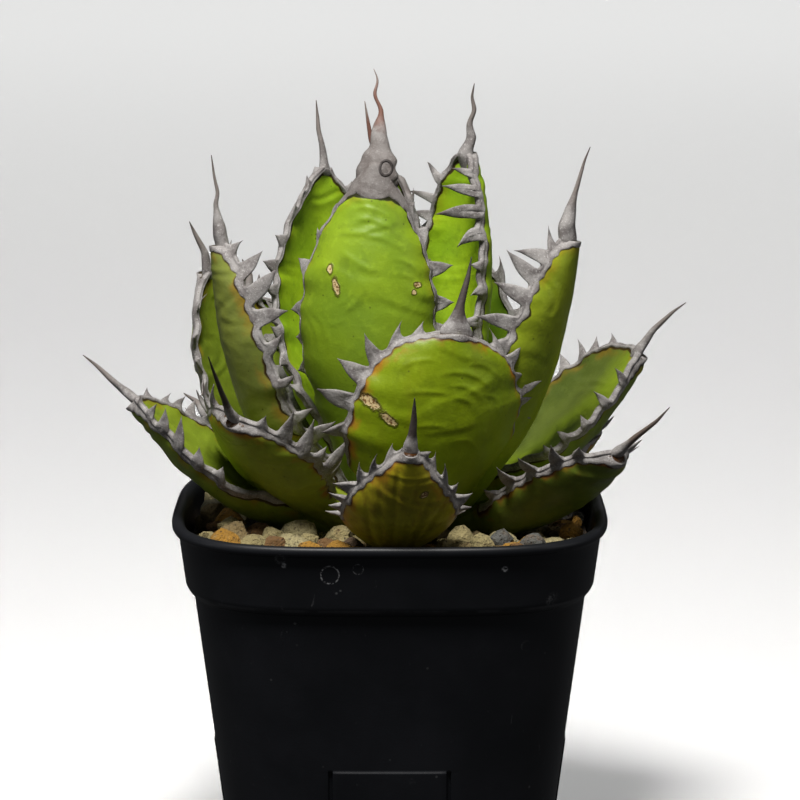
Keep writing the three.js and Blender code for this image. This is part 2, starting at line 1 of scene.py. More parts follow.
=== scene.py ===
# %% [markdown]
# # A potted agave
# This lesson dresses a small agave: a rosette of thick, cupped leaves in a square black nursery pot.
# The solids that come from the packed part give the form of each piece. Here every one of them but the
# potting mix gets a finer surface, and each gets its own finish. Everything is in metres, the front of
# the pot faces -Y, and the origin is the middle of the pot's foot.

import bpy
import numpy as np
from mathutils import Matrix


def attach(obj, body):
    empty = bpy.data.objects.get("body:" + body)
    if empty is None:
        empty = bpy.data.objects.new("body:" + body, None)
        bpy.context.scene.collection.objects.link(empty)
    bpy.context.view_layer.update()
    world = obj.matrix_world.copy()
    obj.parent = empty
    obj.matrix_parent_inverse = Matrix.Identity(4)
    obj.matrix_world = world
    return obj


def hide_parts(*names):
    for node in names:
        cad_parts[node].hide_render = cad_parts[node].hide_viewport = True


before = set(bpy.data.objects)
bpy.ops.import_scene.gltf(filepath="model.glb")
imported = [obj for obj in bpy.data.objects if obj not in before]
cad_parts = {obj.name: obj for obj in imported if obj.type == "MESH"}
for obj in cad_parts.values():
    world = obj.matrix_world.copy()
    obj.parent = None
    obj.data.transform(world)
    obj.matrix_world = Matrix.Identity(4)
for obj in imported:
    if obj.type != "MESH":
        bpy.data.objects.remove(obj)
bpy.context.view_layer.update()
print("solids in the frame:", len(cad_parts))

# %% [markdown]
# ## Soft steps and swells
# A surface is worked out as an array of points, in millimetres. Three small tools shape such arrays:
# a smooth step, vectors of length one, and a soft random swell, which is the sum of a few sine waves
# with a seed, so that it comes out the same each time.

# %% Steps, directions and swells
MM = 0.001
DEGREE = np.pi / 180
SINE_WAVES = 7


def smooth(low, high, x):
    """Nought below low, one above high, and 3 u squared less 2 u cubed between them."""
    u = np.clip((np.asarray(x, float) - low) / (high - low), 0, 1)
    return u * u * (3 - 2 * u)


def unit(v):
    """Each vector divided by its own length."""
    return v / np.linalg.norm(v, axis=-1, keepdims=True)


def swell(points, wavelength, seed):
    """A soft random height of about -1 to 1: a sum of sine waves that run in random directions."""
    random = np.random.default_rng(seed)
    points = np.asarray(points, float)
    aims = unit(random.normal(size=(SINE_WAVES, points.shape[-1])))
    pace = random.uniform(0.7, 1.4, SINE_WAVES) * 2 * np.pi / wavelength
    phases = random.uniform(0, 2 * np.pi, SINE_WAVES)
    return np.sin(points @ aims.T * pace + phases).sum(-1) / np.sqrt(SINE_WAVES) / 1.4


print("a swell over ten centimetres:", swell(np.linspace(0, 100, 6)[:, None], 30, 1).round(2))

# %% [markdown]
# ## Closed bodies
# Nearly every piece here is a pile of closed rings with the same number of points. Walls join each
# ring to the next, and both ends are closed. Blender could skin such rings with a loft or a
# curve, but plain arrays make the same mesh at once, and each point can also carry values, such as
# its distance from the rim, which the finishes read later.

# %% Rings and bodies
def wall_faces(rows, count, endless=False):
    """Four-sided faces from each ring of count points to the next, and last to first if endless."""
    row = np.arange(rows if endless else rows - 1)[:, None]
    i, following = row * count, (row + 1) % rows * count
    j = np.arange(count)[None, :]
    k = (j + 1) % count
    return np.stack([i + j, i + k, following + k, following + j], -1).reshape(-1, 4)


def ring_faces(rows, count):
    """The walls between the rings, and a strip of faces across each end."""
    c = np.arange(count // 2 - 1)
    first = np.stack([c, count - 1 - c, count - 2 - c, c + 1], -1)
    last = first[:, ::-1] + (rows - 1) * count
    return np.concatenate([wall_faces(rows, count), first, last])


def outwards(points, faces):
    """The same faces, turned over if the volume they enclose counts as negative."""
    a, b, c = (points[faces[:, n]] for n in (0, 1, 2))
    volume = np.einsum("ij,ij->i", a, np.cross(b, c)).sum()
    if faces.shape[1] == 4:
        volume += np.einsum("ij,ij->i", a, np.cross(c, points[faces[:, 3]])).sum()
    return faces[:, ::-1] if volume < 0 else faces


def shell(rings, **values):
    """A closed body of rings as points, faces and the values that its points carry."""
    rows, count = rings.shape[:2]
    points = rings.reshape(-1, 3)
    faces = outwards(points, ring_faces(rows, count))
    spread = {k: np.broadcast_to(v, (rows, count)).reshape(-1) for k, v in values.items()}
    return points, faces, spread


def joined(bodies):
    """Several bodies as one: points one after the other, faces counted on."""
    starts = np.cumsum([0] + [len(b[0]) for b in bodies[:-1]])
    points = np.concatenate([b[0] for b in bodies])
    faces = np.concatenate([b[1] + n for b, n in zip(bodies, starts)])
    names = sorted(set().union(*(b[2] for b in bodies)))
    spread = {
        k: np.concatenate([b[2].get(k, np.zeros(len(b[0]))) for b in bodies]) for k in names
    }
    return points, faces, spread


print("faces on three rings of eight points:", len(ring_faces(3, 8)))

# %% [markdown]
# ## Pieces
# A piece is one mesh object with one finish. It rides on the only body of this object and takes the
# place of one or more solids. The values that its points carry become attributes, which a finish reads
# by name.

# %% Pieces
def put(name, data):
    """A new object in the scene that shows the data."""
    made = bpy.data.objects.new(name, data)
    bpy.context.scene.collection.objects.link(made)
    return made


def piece(name, body, finish, slot, *nodes):
    """A mesh object on the root body that stands for CAD nodes; values become attributes."""
    points, faces, spread = body
    mesh = bpy.data.meshes.new(name)
    mesh.vertices.add(len(points))
    mesh.vertices.foreach_set("co", (points * MM).astype(np.float32).ravel())
    sides = faces.shape[1]
    mesh.loops.add(faces.size)
    mesh.loops.foreach_set("vertex_index", faces.astype(np.int32).ravel())
    mesh.polygons.add(len(faces))
    mesh.polygons.foreach_set("loop_start", np.arange(0, faces.size, sides, dtype=np.int32))
    mesh.polygons.foreach_set("use_smooth", np.ones(len(faces), bool))
    mesh.update(calc_edges=True)
    mesh.validate()
    for key, value in spread.items():
        attribute = mesh.attributes.new(key, "FLOAT", "POINT")
        attribute.data.foreach_set("value", np.asarray(value, np.float32))
    mesh.materials.append(finish)
    made = put(name, mesh)
    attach(made, "root")
    if nodes:
        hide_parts(*nodes)
    return made


print("solids to dress:", ", ".join(sorted(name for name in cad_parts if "leaf" not in name)))

# %% [markdown]
# ## Sums of sockets
# Shader maths reads best as sums. A Shade wraps one output socket, and adding, multiplying or
# stepping shades adds the Math and Map Range nodes behind it.

# %% Shades
class Shade:
    """One output socket that can be written in sums."""

    def __init__(self, finish, socket):
        self.finish = finish
        self.socket = socket

    def _maths(self, operation, a, b=0.0):
        return self.finish.node("ShaderNodeMath", {"operation": operation}, {0: a, 1: b})

    def __add__(self, other):
        return self._maths("ADD", self, other)

    def __sub__(self, other):
        return self._maths("SUBTRACT", self, other)

    def __rsub__(self, other):
        return self._maths("SUBTRACT", other, self)

    def __mul__(self, other):
        return self._maths("MULTIPLY", self, other)

    def __truediv__(self, other):
        return self._maths("DIVIDE", self, other)

    def __pow__(self, other):
        return self._maths("POWER", self, other)

    def __abs__(self):
        return self._maths("ABSOLUTE", self)

    __radd__ = __add__
    __rmul__ = __mul__

    def step(self, low, high):
        """Nought below low and one above high, smooth between; low may be above high."""
        settings = {"interpolation_type": "SMOOTHSTEP"}
        turned = low > high
        span = {0: self, 1: min(low, high), 2: max(low, high)}
        rise = self.finish.node("ShaderNodeMapRange", settings, span)
        return 1 - rise if turned else rise


print("a shade answers to:", [name.strip("_") for name, way in vars(Shade).items() if callable(way)])

# %% [markdown]
# ## Finishes
# A Finish holds one material. Its method `node` adds any node: first its settings, then the values or
# links of its sockets. The patterns are noise and scattered cells, sized in millimetres on Object
# coordinates, so that they sit still on the piece and need no picture.

# %% Finishes
class Finish:
    """A material with a Principled shader."""

    def __init__(self, name, **constants):
        self.material = bpy.data.materials.new(name)
        self.material.use_nodes = True
        self.tree = self.material.node_tree
        self.shader = self.tree.nodes["Principled BSDF"]
        for key, value in constants.items():
            self.shader.inputs[key.replace("_", " ")].default_value = value

    def node(self, kind, settings=None, inputs=None, output=0):
        """Adds a node: its settings first, then its sockets' values or links."""
        added = self.tree.nodes.new(kind)
        for key, value in (settings or {}).items():
            if key == "stops":
                self._steps_of_colour(added.color_ramp, value)
            else:
                setattr(added, key, value)
        for key, value in (inputs or {}).items():
            self.feed(added.inputs[key], value)
        return Shade(self, added.outputs[output])

    def _steps_of_colour(self, ramp, stops):
        ramp.interpolation = "CONSTANT"
        while len(ramp.elements) < len(stops):
            ramp.elements.new(0.5)
        for element, (place, colour) in zip(ramp.elements, stops):
            element.position = place
            element.color = (*colour, 1)

    def feed(self, socket, value):
        """Sets a socket to a number or colour, or links it to a shade."""
        if isinstance(value, Shade):
            self.tree.links.new(value.socket, socket)
        elif isinstance(value, tuple) and len(value) == 3 and socket.type == "RGBA":
            socket.default_value = (*value, 1)
        else:
            socket.default_value = value

    def carried(self, name):
        """A value that the piece's points carry."""
        settings = {"attribute_type": "GEOMETRY", "attribute_name": name}
        return self.node("ShaderNodeAttribute", settings, output=2)

    def place(self, scale=(1.0, 1.0, 1.0)):
        """Object coordinates in millimetres, stretched by scale."""
        where = self.node("ShaderNodeTexCoord", output=3)
        inputs = {0: where, 1: tuple(1000 * k for k in scale)}
        return self.node("ShaderNodeVectorMath", {"operation": "MULTIPLY"}, inputs)

    def axes(self):
        """The three object coordinates in millimetres, one by one."""
        place = self.place()
        return [self.node("ShaderNodeSeparateXYZ", None, {0: place}, k) for k in range(3)]

    def noise(self, size, detail, rough=0.55, twist=0.0, where=None):
        """Soft noise from 0 to 1 with bumps of about that many millimetres."""
        inputs = {"Vector": where or self.place(), "Scale": 1 / size, "Detail": detail}
        inputs.update({"Roughness": rough, "Distortion": twist})
        return self.node("ShaderNodeTexNoise", None, inputs)

    def cells(self, size):
        """Distance to the nearest of points that are scattered about size millimetres apart."""
        inputs = {"Vector": self.place(), "Scale": 1 / size}
        return self.node("ShaderNodeTexVoronoi", None, inputs)

    def mix(self, a, b, share):
        """Colour a turned into colour b by share."""
        return self.node("ShaderNodeMix", {"data_type": "RGBA"}, {0: share, 6: a, 7: b}, output=2)

    def bump(self, height, depth, strength):
        """Normals of a surface raised by height times depth, in millimetres."""
        inputs = {"Strength": strength, "Distance": depth * MM, "Height": height}
        self.feed(self.shader.inputs["Normal"], self.node("ShaderNodeBump", None, inputs))

    def done(self, **sockets):
        """Feeds the shader's own sockets and gives back the material."""
        for key, value in sockets.items():
            self.feed(self.shader.inputs[key.replace("_", " ")], value)
        return self.material


print("a finish has:", [name for name in vars(Finish) if not name.startswith("_")])

# %% [markdown]
# ## The leaves as formulas
# A leaf is a cupped blade along a midrib that curves in a plane through the stem. The midrib rises at
# an angle that changes evenly from root to tip. Across it the blade is an arc of a circle, and its
# width swells from the root and closes at the tip. These are the same formulas and numbers as the
# solids have, so a finer leaf stays where its solid is. Only leaves 4, 7, 10 and 17 differ from
# their solids a little in outline. Lengths are millimetres and angles are degrees.

# %% The table of leaves
SHARED = {
    "root_share": 0.5, "widest": 0.55, "blunt": 2.2, "sharp": 0.75, "cup": (60, 35), "roll": 0,
    "sweep": 0, "thick": 5.0, "spine": 17, "spine_side": 0, "spine_rise": 0, "wave": 1,
    "tooth": (6.5, 6.5), "flare": (0.4, 0.4), "spacing": 5.8, "cap": 0.5, "skin": "plain",
    "horn": "grey", "slim": 0.82, "bare": False,
}
BEHIND = dict(cup=(55, 38), root_share=0.42, spacing=6.8)
LOW_BEHIND = dict(cup=(50, 34), tooth=(5.5, 5.5), spacing=6.6, skin="low")
TABLE = [
    dict(azimuth=-170, root=(2.4, 96), rise=(88, 92), length=50, width=6, cup=(75, 60), thick=3.4,
         spine=9, tooth=(2.4, 2.4), spacing=8),
    dict(azimuth=80, root=(5.2, 96), rise=(86, 92), length=75, width=9.5, cup=(70, 60), thick=3.8,
         spine=14, spine_side=22, tooth=(3.2, 3.2), spacing=8, horn="red"),
    dict(azimuth=-114, root=(6.1, 94.6), rise=(66.8, 112), length=82.7, width=17.7, cup=(70, 47),
         roll=17.8, spine=22.7, spine_side=-27, spine_rise=-3.6, tooth=(5.4, 3), sharp=1.05,
         wave=1.2, flare=(0.3, 1), cap=7.5, slim=0.95, skin="tall", horn="red"),
    dict(azimuth=126.9, root=(8.1, 96.6), rise=(47.3, 90.4), length=81, width=20.5, cup=(70, 24),
         roll=9.5, sweep=-7.1, spine=17.2, spine_side=21.2, spine_rise=-21.6, tooth=(3.8, 3.8),
         sharp=1.05, blunt=2.1, skin="fresh"),
    dict(azimuth=33.3, root=(8.4, 94.7), rise=(64.5, 96.6), length=83.7, width=13.6,
         cup=(70, 42.5), roll=2.6, spine=17.4, spine_side=-18.8, spine_rise=-24.1,
         tooth=(8, 7.4), flare=(0.4, 2.6), spacing=5, cap=1.2, slim=0.64, skin="fresh"),
    dict(azimuth=92, root=(11.5, 95), rise=(66, 88), length=66, width=15, cup=(50, 42), spine=12,
         root_share=0.4, spacing=6.8),
    dict(azimuth=-153.3, root=(13.1, 92.3), rise=(41.7, 89.2), length=73.8, width=13.3,
         cup=(70, 37.5), roll=-12.4, sweep=-2.7, spine=17.8, spine_side=-1.3, spine_rise=-10.2,
         tooth=(8, 5), spacing=6.2, flare=(1.6, 0.4), skin="grey"),
    dict(azimuth=-24.8, root=(13.1, 92.1), rise=(45.1, 83.8), length=75.2, width=13.8,
         cup=(70, 37.5), sweep=3.3, spine=22.3, spine_side=4.2, spine_rise=-6.6, tooth=(6, 9.8),
         spacing=6.6, flare=(0.4, 1.75), slim=0.72, skin="warm"),
    dict(azimuth=-72.5, root=(17.4, 94), rise=(29.3, 100), length=53, width=22.5, cup=(55, 33),
         roll=3.5, sweep=4, spine=19.2, spine_side=5.3, spine_rise=-2.2, sharp=0.5,
         tooth=(8.2, 8.8), spacing=5.2, wave=0.3, flare=(0.2, 0.2), bare=True, skin="broad",
         horn="dark"),
    dict(azimuth=153.9, root=(16.3, 91.3), rise=(34.9, 86.2), length=65.5, width=19.2,
         cup=(60, 28.1), roll=-10.9, sweep=5, spine=13.8, spine_side=14.2, spine_rise=-13.5,
         sharp=0.95, flare=(1.5, 0.4), skin="mild"),
    BEHIND | dict(azimuth=112, root=(17, 93), rise=(42, 80), length=60, width=17, spine=15),
    BEHIND | dict(azimuth=60, root=(18, 92), rise=(42, 84), length=61, width=17, spine=15),
    BEHIND | dict(azimuth=135, root=(21, 91), rise=(36, 80), length=56, width=16.5, cup=(52, 38),
                  spine=10),
    dict(azimuth=-147, root=(21.1, 95.5), rise=(28.3, 52.7), length=36.5, width=16.1,
         cup=(50, 24), roll=6, sweep=8.9, spine=22.9, spine_side=-9.6, tooth=(7, 7), spacing=5.2,
         flare=(2.4, 0.8), wave=0.3, skin="low", horn="dark"),
    dict(azimuth=15.6, root=(20.3, 94), rise=(20.5, 58.8), length=53.9, width=20.2,
         cup=(50, 26.2), sweep=-7.2, spine=17, spine_side=-7.4, spine_rise=-17.1, tooth=(6, 6),
         flare=(0.4, 3.2), wave=0.3, slim=0.62, bare=True, skin="dim"),
    dict(azimuth=-160, root=(22.5, 90.3), rise=(23.3, 50.8), length=49.2, width=14.5,
         cup=(50, 24), roll=-18.7, sweep=-9.4, spine=16.3, spine_side=2.7, spine_rise=-12.8,
         tooth=(5.5, 5.5), flare=(3.0, 0.4), wave=0.3, slim=0.68, bare=True, skin="mild"),
    dict(azimuth=-87.7, root=(24.9, 91.8), rise=(-2, 74), length=44, width=13.3, cup=(45, 20),
         roll=-1.8, sweep=2.4, spine=13.6, spine_side=-14.2, tooth=(4.6, 4.6), spacing=4.8,
         wave=0.3, sharp=1.15, widest=0.46, bare=True, skin="old", horn="dark"),
    dict(azimuth=-27, root=(25.5, 91), rise=(12, 44), length=43, width=13, cup=(50, 36),
         roll=-16, sweep=-7, spine=17, spine_rise=12, tooth=(6.4, 6.4), spacing=6.2, wave=0.3,
         slim=0.75, bare=True, skin="shade", horn="brown"),
    LOW_BEHIND | dict(azimuth=90, root=(25, 90.6), rise=(14, 50), length=47, width=16, spine=15),
    LOW_BEHIND | dict(azimuth=35, root=(25.5, 91), rise=(8, 34), length=40, width=15, spine=12),
    LOW_BEHIND | dict(azimuth=140, root=(25.5, 91), rise=(10, 36), length=38, width=14, spine=10),
]
SEEN = {3, 4, 5, 7, 8, 9, 10, 14, 15, 16, 17, 18}
LEAVES = [
    {**SHARED, **row, "seed": 11 * n - 8, "number": n, "fine": n in SEEN}
    for n, row in enumerate(TABLE, 1)
]
print("leaves:", len(LEAVES), "of which the front shows", len(SEEN))

# %% [markdown]
# ## Width and section
# Half the width at a share s of the leaf's length, how far its section is bent into a gutter, and its
# thickness, which is greatest along the middle. A modelled and bent plane could do the same, but a
# formula lets the blade, the horn on its edge and the stones that must clear it all ask for the
# same surface.

# %% Width and section
EDGE_THICKNESS = 1.3
TIP_HALF_WIDTH = 1.3


def half_width(leaf, s):
    """A quarter sine up to the widest place, then one less a power, all raised to a power."""
    c = np.clip(s, 0, 1)
    root, widest = leaf["root_share"], leaf["widest"]
    low = root + (1 - root) * np.sin(np.pi / 2 * np.minimum(1, c / widest))
    v = np.clip((c - widest) / (1 - widest), 0, 1)
    high = (1 - v ** leaf["blunt"]) ** leaf["sharp"]
    return leaf["width"] * np.where(c < widest, low, high) + TIP_HALF_WIDTH * smooth(0.75, 1, c)


def cup_angle(leaf, s):
    """Half angle of the gutter-shaped section, easing from its root value to its later one."""
    low, high = leaf["cup"]
    return (low + (high - low) * smooth(0, 0.45, s)) * DEGREE


def thickness(leaf, s, t):
    """A crown along the middle that falls to the edge's own thickness."""
    crown = leaf["thick"] * (1 - 0.55 * smooth(0.3, 1, s))
    return crown * np.maximum(0, 1 - t * t) ** 0.8 + EDGE_THICKNESS


for leaf in LEAVES[2:9:6]:
    print("leaf", leaf["number"], "is", round(2 * float(half_width(leaf, 0.5)), 1), "mm wide")

# %% [markdown]
# ## Midrib
# The midrib is an arc in the plane through the stem, and it may drift sideways a little. At each place
# it has three directions: along the leaf, across it, and towards its inner face. Past the tip it
# runs straight on.

# %% Midrib
def midrib(leaf, s):
    """The arc whose angle grows evenly: its point and the directions along, across and inner."""
    s = np.asarray(s, float)
    c = np.clip(s, 0, 1)
    over = (s - c) * leaf["length"]
    start, end = (a * DEGREE for a in leaf["rise"])
    turn = end - start
    rise = start + turn * c
    azimuth = leaf["azimuth"] * DEGREE
    out = np.array([np.cos(azimuth), np.sin(azimuth), 0])
    side = np.array([-out[1], out[0], 0])
    up = np.array([0, 0, 1.0])
    arc = leaf["length"] / turn
    reach = leaf["root"][0] + arc * (np.sin(rise) - np.sin(start)) + over * np.cos(rise)
    height = leaf["root"][1] - arc * (np.cos(rise) - np.cos(start)) + over * np.sin(rise)
    aside = leaf["sweep"] * c * c
    point = reach[..., None] * out + height[..., None] * up + aside[..., None] * side
    drift = 2 * leaf["sweep"] * c / leaf["length"]
    level, steep = np.cos(rise)[..., None], np.sin(rise)[..., None]
    along = unit(level * out + steep * up + drift[..., None] * side)
    across = unit(np.cross(level * up - steep * out, along))
    inner = np.cross(along, across)
    roll = (leaf["roll"] * DEGREE * smooth(0, 0.5, c))[..., None]
    turned = across * np.cos(roll) + inner * np.sin(roll)
    return point, along, turned, inner * np.cos(roll) - across * np.sin(roll)


ends = [midrib(leaf, np.array([1.0]))[0][0] for leaf in LEAVES]
print("the highest tip is", round(max(end[2] for end in ends)), "mm above the pot's foot")

# %% [markdown]
# ## Teeth that show
# Each edge of a leaf carries horny teeth. Those that show from the front are placed one by one. The key
# is the leaf's number and the side of its edge. Each row gives the share of the leaf's length, the
# tooth's length, its lean towards the leaf's tip, its curl off the leaf's plane, and half the width of
# its base.

# %% Placed teeth
PLACED = {
    (3, -1): [(0.39, 3.6, -1.0, -0.6, 2.3), (0.48, 2.6, 0.1, -0.3, 2.2), (0.57, 3.4, -0.8, -0.5, 2.3),
              (0.69, 4.0, 1.3, -0.5, 2.4), (0.78, 1.8, 1.9, 0.2, 2.0), (0.87, 1.2, 0.8, 0.6, 1.8)],
    (3, 1): [(0.51, 4.6, -0.3, 0, 2.4), (0.60, 4.2, -0.1, 0, 2.6), (0.709, 5.2, -0.4, 0, 2.6),
             (0.809, 3.0, 1.8, 0, 2.5), (0.887, 1.9, 1.2, 0.1, 2.3)],
    (4, 1): [(0.68, 4, -0.4, -0.2, 2.2), (0.758, 3, -0.2, -0.1, 2.2), (0.85, 2.0, 2.5, 0.9, 2.2),
             (0.892, 1.6, 4.2, 1.5, 2.0), (0.94, 2, 1.2, 0.2, 1.8)],
    (9, -1): [(0.50, 5.0, -0.6, 0.2, 2.6), (0.643, 8.3, 1.3, 0.1, 2.8), (0.773, 7.4, 0.6, 0.1, 2.9),
              (0.856, 6, 2.6, -0.1, 2.8), (0.936, 3.2, 3.9, -0.2, 3.0), (0.98, 2.6, 1.6, -0.1, 2.0)],
    (9, 1): [(0.562, 4.9, -2.1, 0, 2.6), (0.66, 3.0, 0.4, 0.3, 2.2), (0.729, 6.1, -0.1, 0, 2.6),
             (0.81, 2.2, -0.6, 0.3, 2.0), (0.89, 5.0, 1.6, 0.2, 2.7), (0.946, 3.0, 4.8, 0.6, 2.6)],
    (7, 1): [(0.42, 4.8, 1.2, 0.3, 1.5), (0.545, 4.6, 1.6, 0.2, 1.5), (0.665, 3.6, 2.2, 0.6, 2.0),
             (0.765, 7.2, -1.2, 0, 2.8), (0.839, 8.6, 3.0, 0.2, 3.0), (0.917, 6.2, 1.4, 0, 2.8),
             (0.98, 3.9, -1.6, 0, 2.2)],
    (10, 1): [(0.52, 4.2, -0.4, 0, 2.3), (0.604, 4.6, -1.4, -1.0, 2.3), (0.697, 5, -0.1, -0.4, 2.3),
              (0.787, 4.6, -1, 0.7, 2.3), (0.887, 2.6, 2.5, 3.0, 2.3)],
    (8, -1): [(0.45, 4.2, -0.5, 0, 2.6), (0.55, 4.6, -1.0, 0, 2.6), (0.643, 3.4, -2.4, -0.2, 2.6),
              (0.715, 7.4, -2.6, -0.1, 2.9), (0.807, 8.0, -0.6, 0, 3.0), (0.873, 8.6, 1.6, 0, 3.0),
              (0.936, 7.6, -3.6, 0, 2.8), (0.971, 4.5, 1.8, 0, 1.8)],
    (5, -1): [(0.52, 4.0, -1.0, 0, 2.4), (0.616, 2.6, -2, -0.2, 2.4), (0.687, 2.4, -0.2, -0.2, 2.4),
              (0.78, 7.4, -5.6, 0, 2.8), (0.843, 11.4, -3.6, 0.3, 2.8), (0.9, 9.4, -1.9, 0.2, 2.6),
              (0.949, 5.6, -1.6, 0, 2.0)],
    (14, 1): [(0.30, 3.4, 2.0, 0.6, 2.3), (0.435, 7.2, 4.2, 0.7, 2.6), (0.60, 3.2, 0.6, 0.3, 2.2),
              (0.746, 8.0, 1.9, 0.3, 2.7), (0.868, 7.6, 1.0, 0.2, 2.7), (0.955, 3.4, -0.3, -0.1, 2.0)],
    (14, -1): [(0.55, 5.0, 1.0, 1.0, 1.5), (0.63, 5.6, 1.2, 1.2, 1.5), (0.70, 6.2, 1.4, 1.4, 1.5),
               (0.77, 6.4, 2.0, 1.6, 1.5), (0.84, 6.0, 2.6, 2.0, 1.6), (0.91, 5.6, 4.0, 2.6, 1.8)],
    (17, -1): [(0.333, 3.6, 0.5, 0.3, 2.2), (0.45, 2.6, -0.4, 0.2, 2.0), (0.553, 3.2, 1.2, 0.3, 2.1),
               (0.68, 4.1, -1.3, -0.2, 2.2), (0.76, 3.2, 3.3, 0.4, 2.2), (0.841, 2.4, 5.0, 0.4, 2.3),
               (0.944, 1.8, 2.3, 0, 1.8)],
    (17, 1): [(0.399, 2.2, 0.1, 0.4, 2.2), (0.5, 3.0, -0.8, 0.3, 2.0), (0.606, 3.8, 1.1, 0.2, 2.2),
              (0.71, 2.2, 2.0, 0.4, 2.0), (0.802, 2.6, 5.2, 0.7, 2.4), (0.902, 2.2, 2.6, 0.1, 2.1),
              (0.965, 1.8, -0.8, 0.3, 1.7)],
    (15, 1): [(0.60, 5, 0.4, 0.3, 2.3), (0.692, 6.0, -0.8, 0.5, 2.4), (0.782, 7.4, -2.0, 1, 2.3),
              (0.846, 4.2, -0.4, 0, 2.2), (0.929, 3.2, -1.9, 0.1, 2.2)],
    (15, -1): [(0.38, 2.2, 0.8, 0.2, 2.4), (0.50, 2.4, -0.6, 0, 2.3), (0.62, 2.6, 0.4, 0.2, 2.4),
               (0.763, 4.2, -2.2, 0.2, 2.5), (0.885, 5.2, -3.0, 1.2, 2.7)],
    (18, -1): [(0.235, 4.2, 1.8, 0.2, 2.4), (0.428, 6.4, 2.6, 0.8, 2.6), (0.62, 7.0, 2.4, 1, 2.6),
               (0.79, 6.6, 2.2, 0.9, 2.6), (0.905, 4.2, 1.4, 0, 2.2)],
    (16, -1): [(0.64, 6.0, -0.4, 0.6, 2.4), (0.741, 7.4, -1.3, 1.2, 2.4), (0.829, 6.2, -2.7, 0.9, 2.3),
               (0.892, 4.4, -3.1, 0.5, 2.2), (0.966, 3.4, -1.8, 0.2, 1.9)],
    (16, 1): [(0.514, 2.4, 1, -0.2, 2.5), (0.621, 3.6, 1.8, -0.1, 2.5), (0.731, 6.2, 1.9, 0.1, 2.5),
              (0.819, 5.2, 0.7, 0, 2.4), (0.89, 5.2, -2.8, 0.4, 2.3), (0.955, 2.4, -0.6, 0.2, 1.9)],
}
print("placed teeth:", sum(map(len, PLACED.values())))

# %% [markdown]
# ## Teeth by rule
# The other teeth are drawn at random from the leaf's own seed, longest above its middle. They also fill
# an edge below its lowest placed tooth. An edge isn't straight between its teeth: it bulges under each
# one, and it waves a little, and both are needed before any surface is made.

# %% Random teeth and wavy edges
HUMP_WIDTH, HUMP_HEIGHT, HUMP_SINK = 2.0, 0.7, 0.25
RUFFLES = [(11.3, 0.35), (6.1, 0.2)]  # length and height of a wave


def random_teeth(leaf, side, top=0.93):
    """Teeth from near the root up to the share top, with seeded lengths and leans."""
    random = np.random.default_rng(leaf["seed"] + (5 if side > 0 else 9))
    size = leaf["tooth"][0 if side > 0 else 1]
    count = max(1, int(round((top - 0.12) * leaf["length"] / leaf["spacing"])))
    s = np.linspace(0.14, top, count) + random.uniform(-0.2, 0.2, count) / count * 0.8
    share = (0.3 + 0.7 * smooth(0.1, 0.5, s)) * (1 - 0.25 * smooth(0.8, 1, s))
    length = size * share * random.uniform(0.7, 1.1, count)
    lean = leaf["spacing"] * random.uniform(-0.4, 0.6, count)
    curl = size * random.uniform(-0.1, 0.3, count)
    base = np.clip(leaf["spacing"] * random.uniform(0.36, 0.48, count), 1.6, 2.8)
    return np.stack([s, length, lean, curl, base], -1)


def teeth_of(leaf, side):
    """The placed teeth, with random ones below them; all random where none is placed."""
    placed = PLACED.get((leaf["number"], side))
    if placed is None:
        rows = random_teeth(leaf, side)
    else:
        rows = np.array(placed, float)
        lowest = rows[0, 0] - 1.1 * leaf["spacing"] / leaf["length"]
        if lowest > 0.2 and not leaf["bare"]:
            rows = np.concatenate([random_teeth(leaf, side, lowest), rows])
    return rows * (1, 1, 1, 1, leaf["slim"])


def hump(leaf, s, side):
    """The edge bulges a little under each tooth and dips between them."""
    rows = leaf["teeth"][side]
    far = (np.asarray(s, float)[..., None] - rows[:, 0]) * leaf["length"] / HUMP_WIDTH
    swing = HUMP_HEIGHT * np.exp(-far * far).sum(-1) - HUMP_SINK
    return swing * (1 - smooth(0.965, 0.995, s))


def ruffle(leaf, s, side):
    """The edge also waves a little off the leaf's plane."""
    y = np.asarray(s, float) * leaf["length"]
    phase = leaf["seed"] + side
    return sum(height * np.sin(2 * np.pi * y / wave + phase) for wave, height in RUFFLES)


for leaf in LEAVES:
    leaf["teeth"] = {side: teeth_of(leaf, side) for side in (1, -1)}
print("teeth:", sum(len(rows) for leaf in LEAVES for rows in leaf["teeth"].values()))

# %% [markdown]
# ## Bud prints
# The leaves press on each other in the bud, and the prints stay: bent ridges with a groove beside
# them. The clear ones are listed by leaf, with both ends, how far they bow, their width and their
# height, in millimetres on the flat leaf. Fainter ones follow the lines where a soft random height
# passes through nought. They are real relief, because light from above draws each of them.

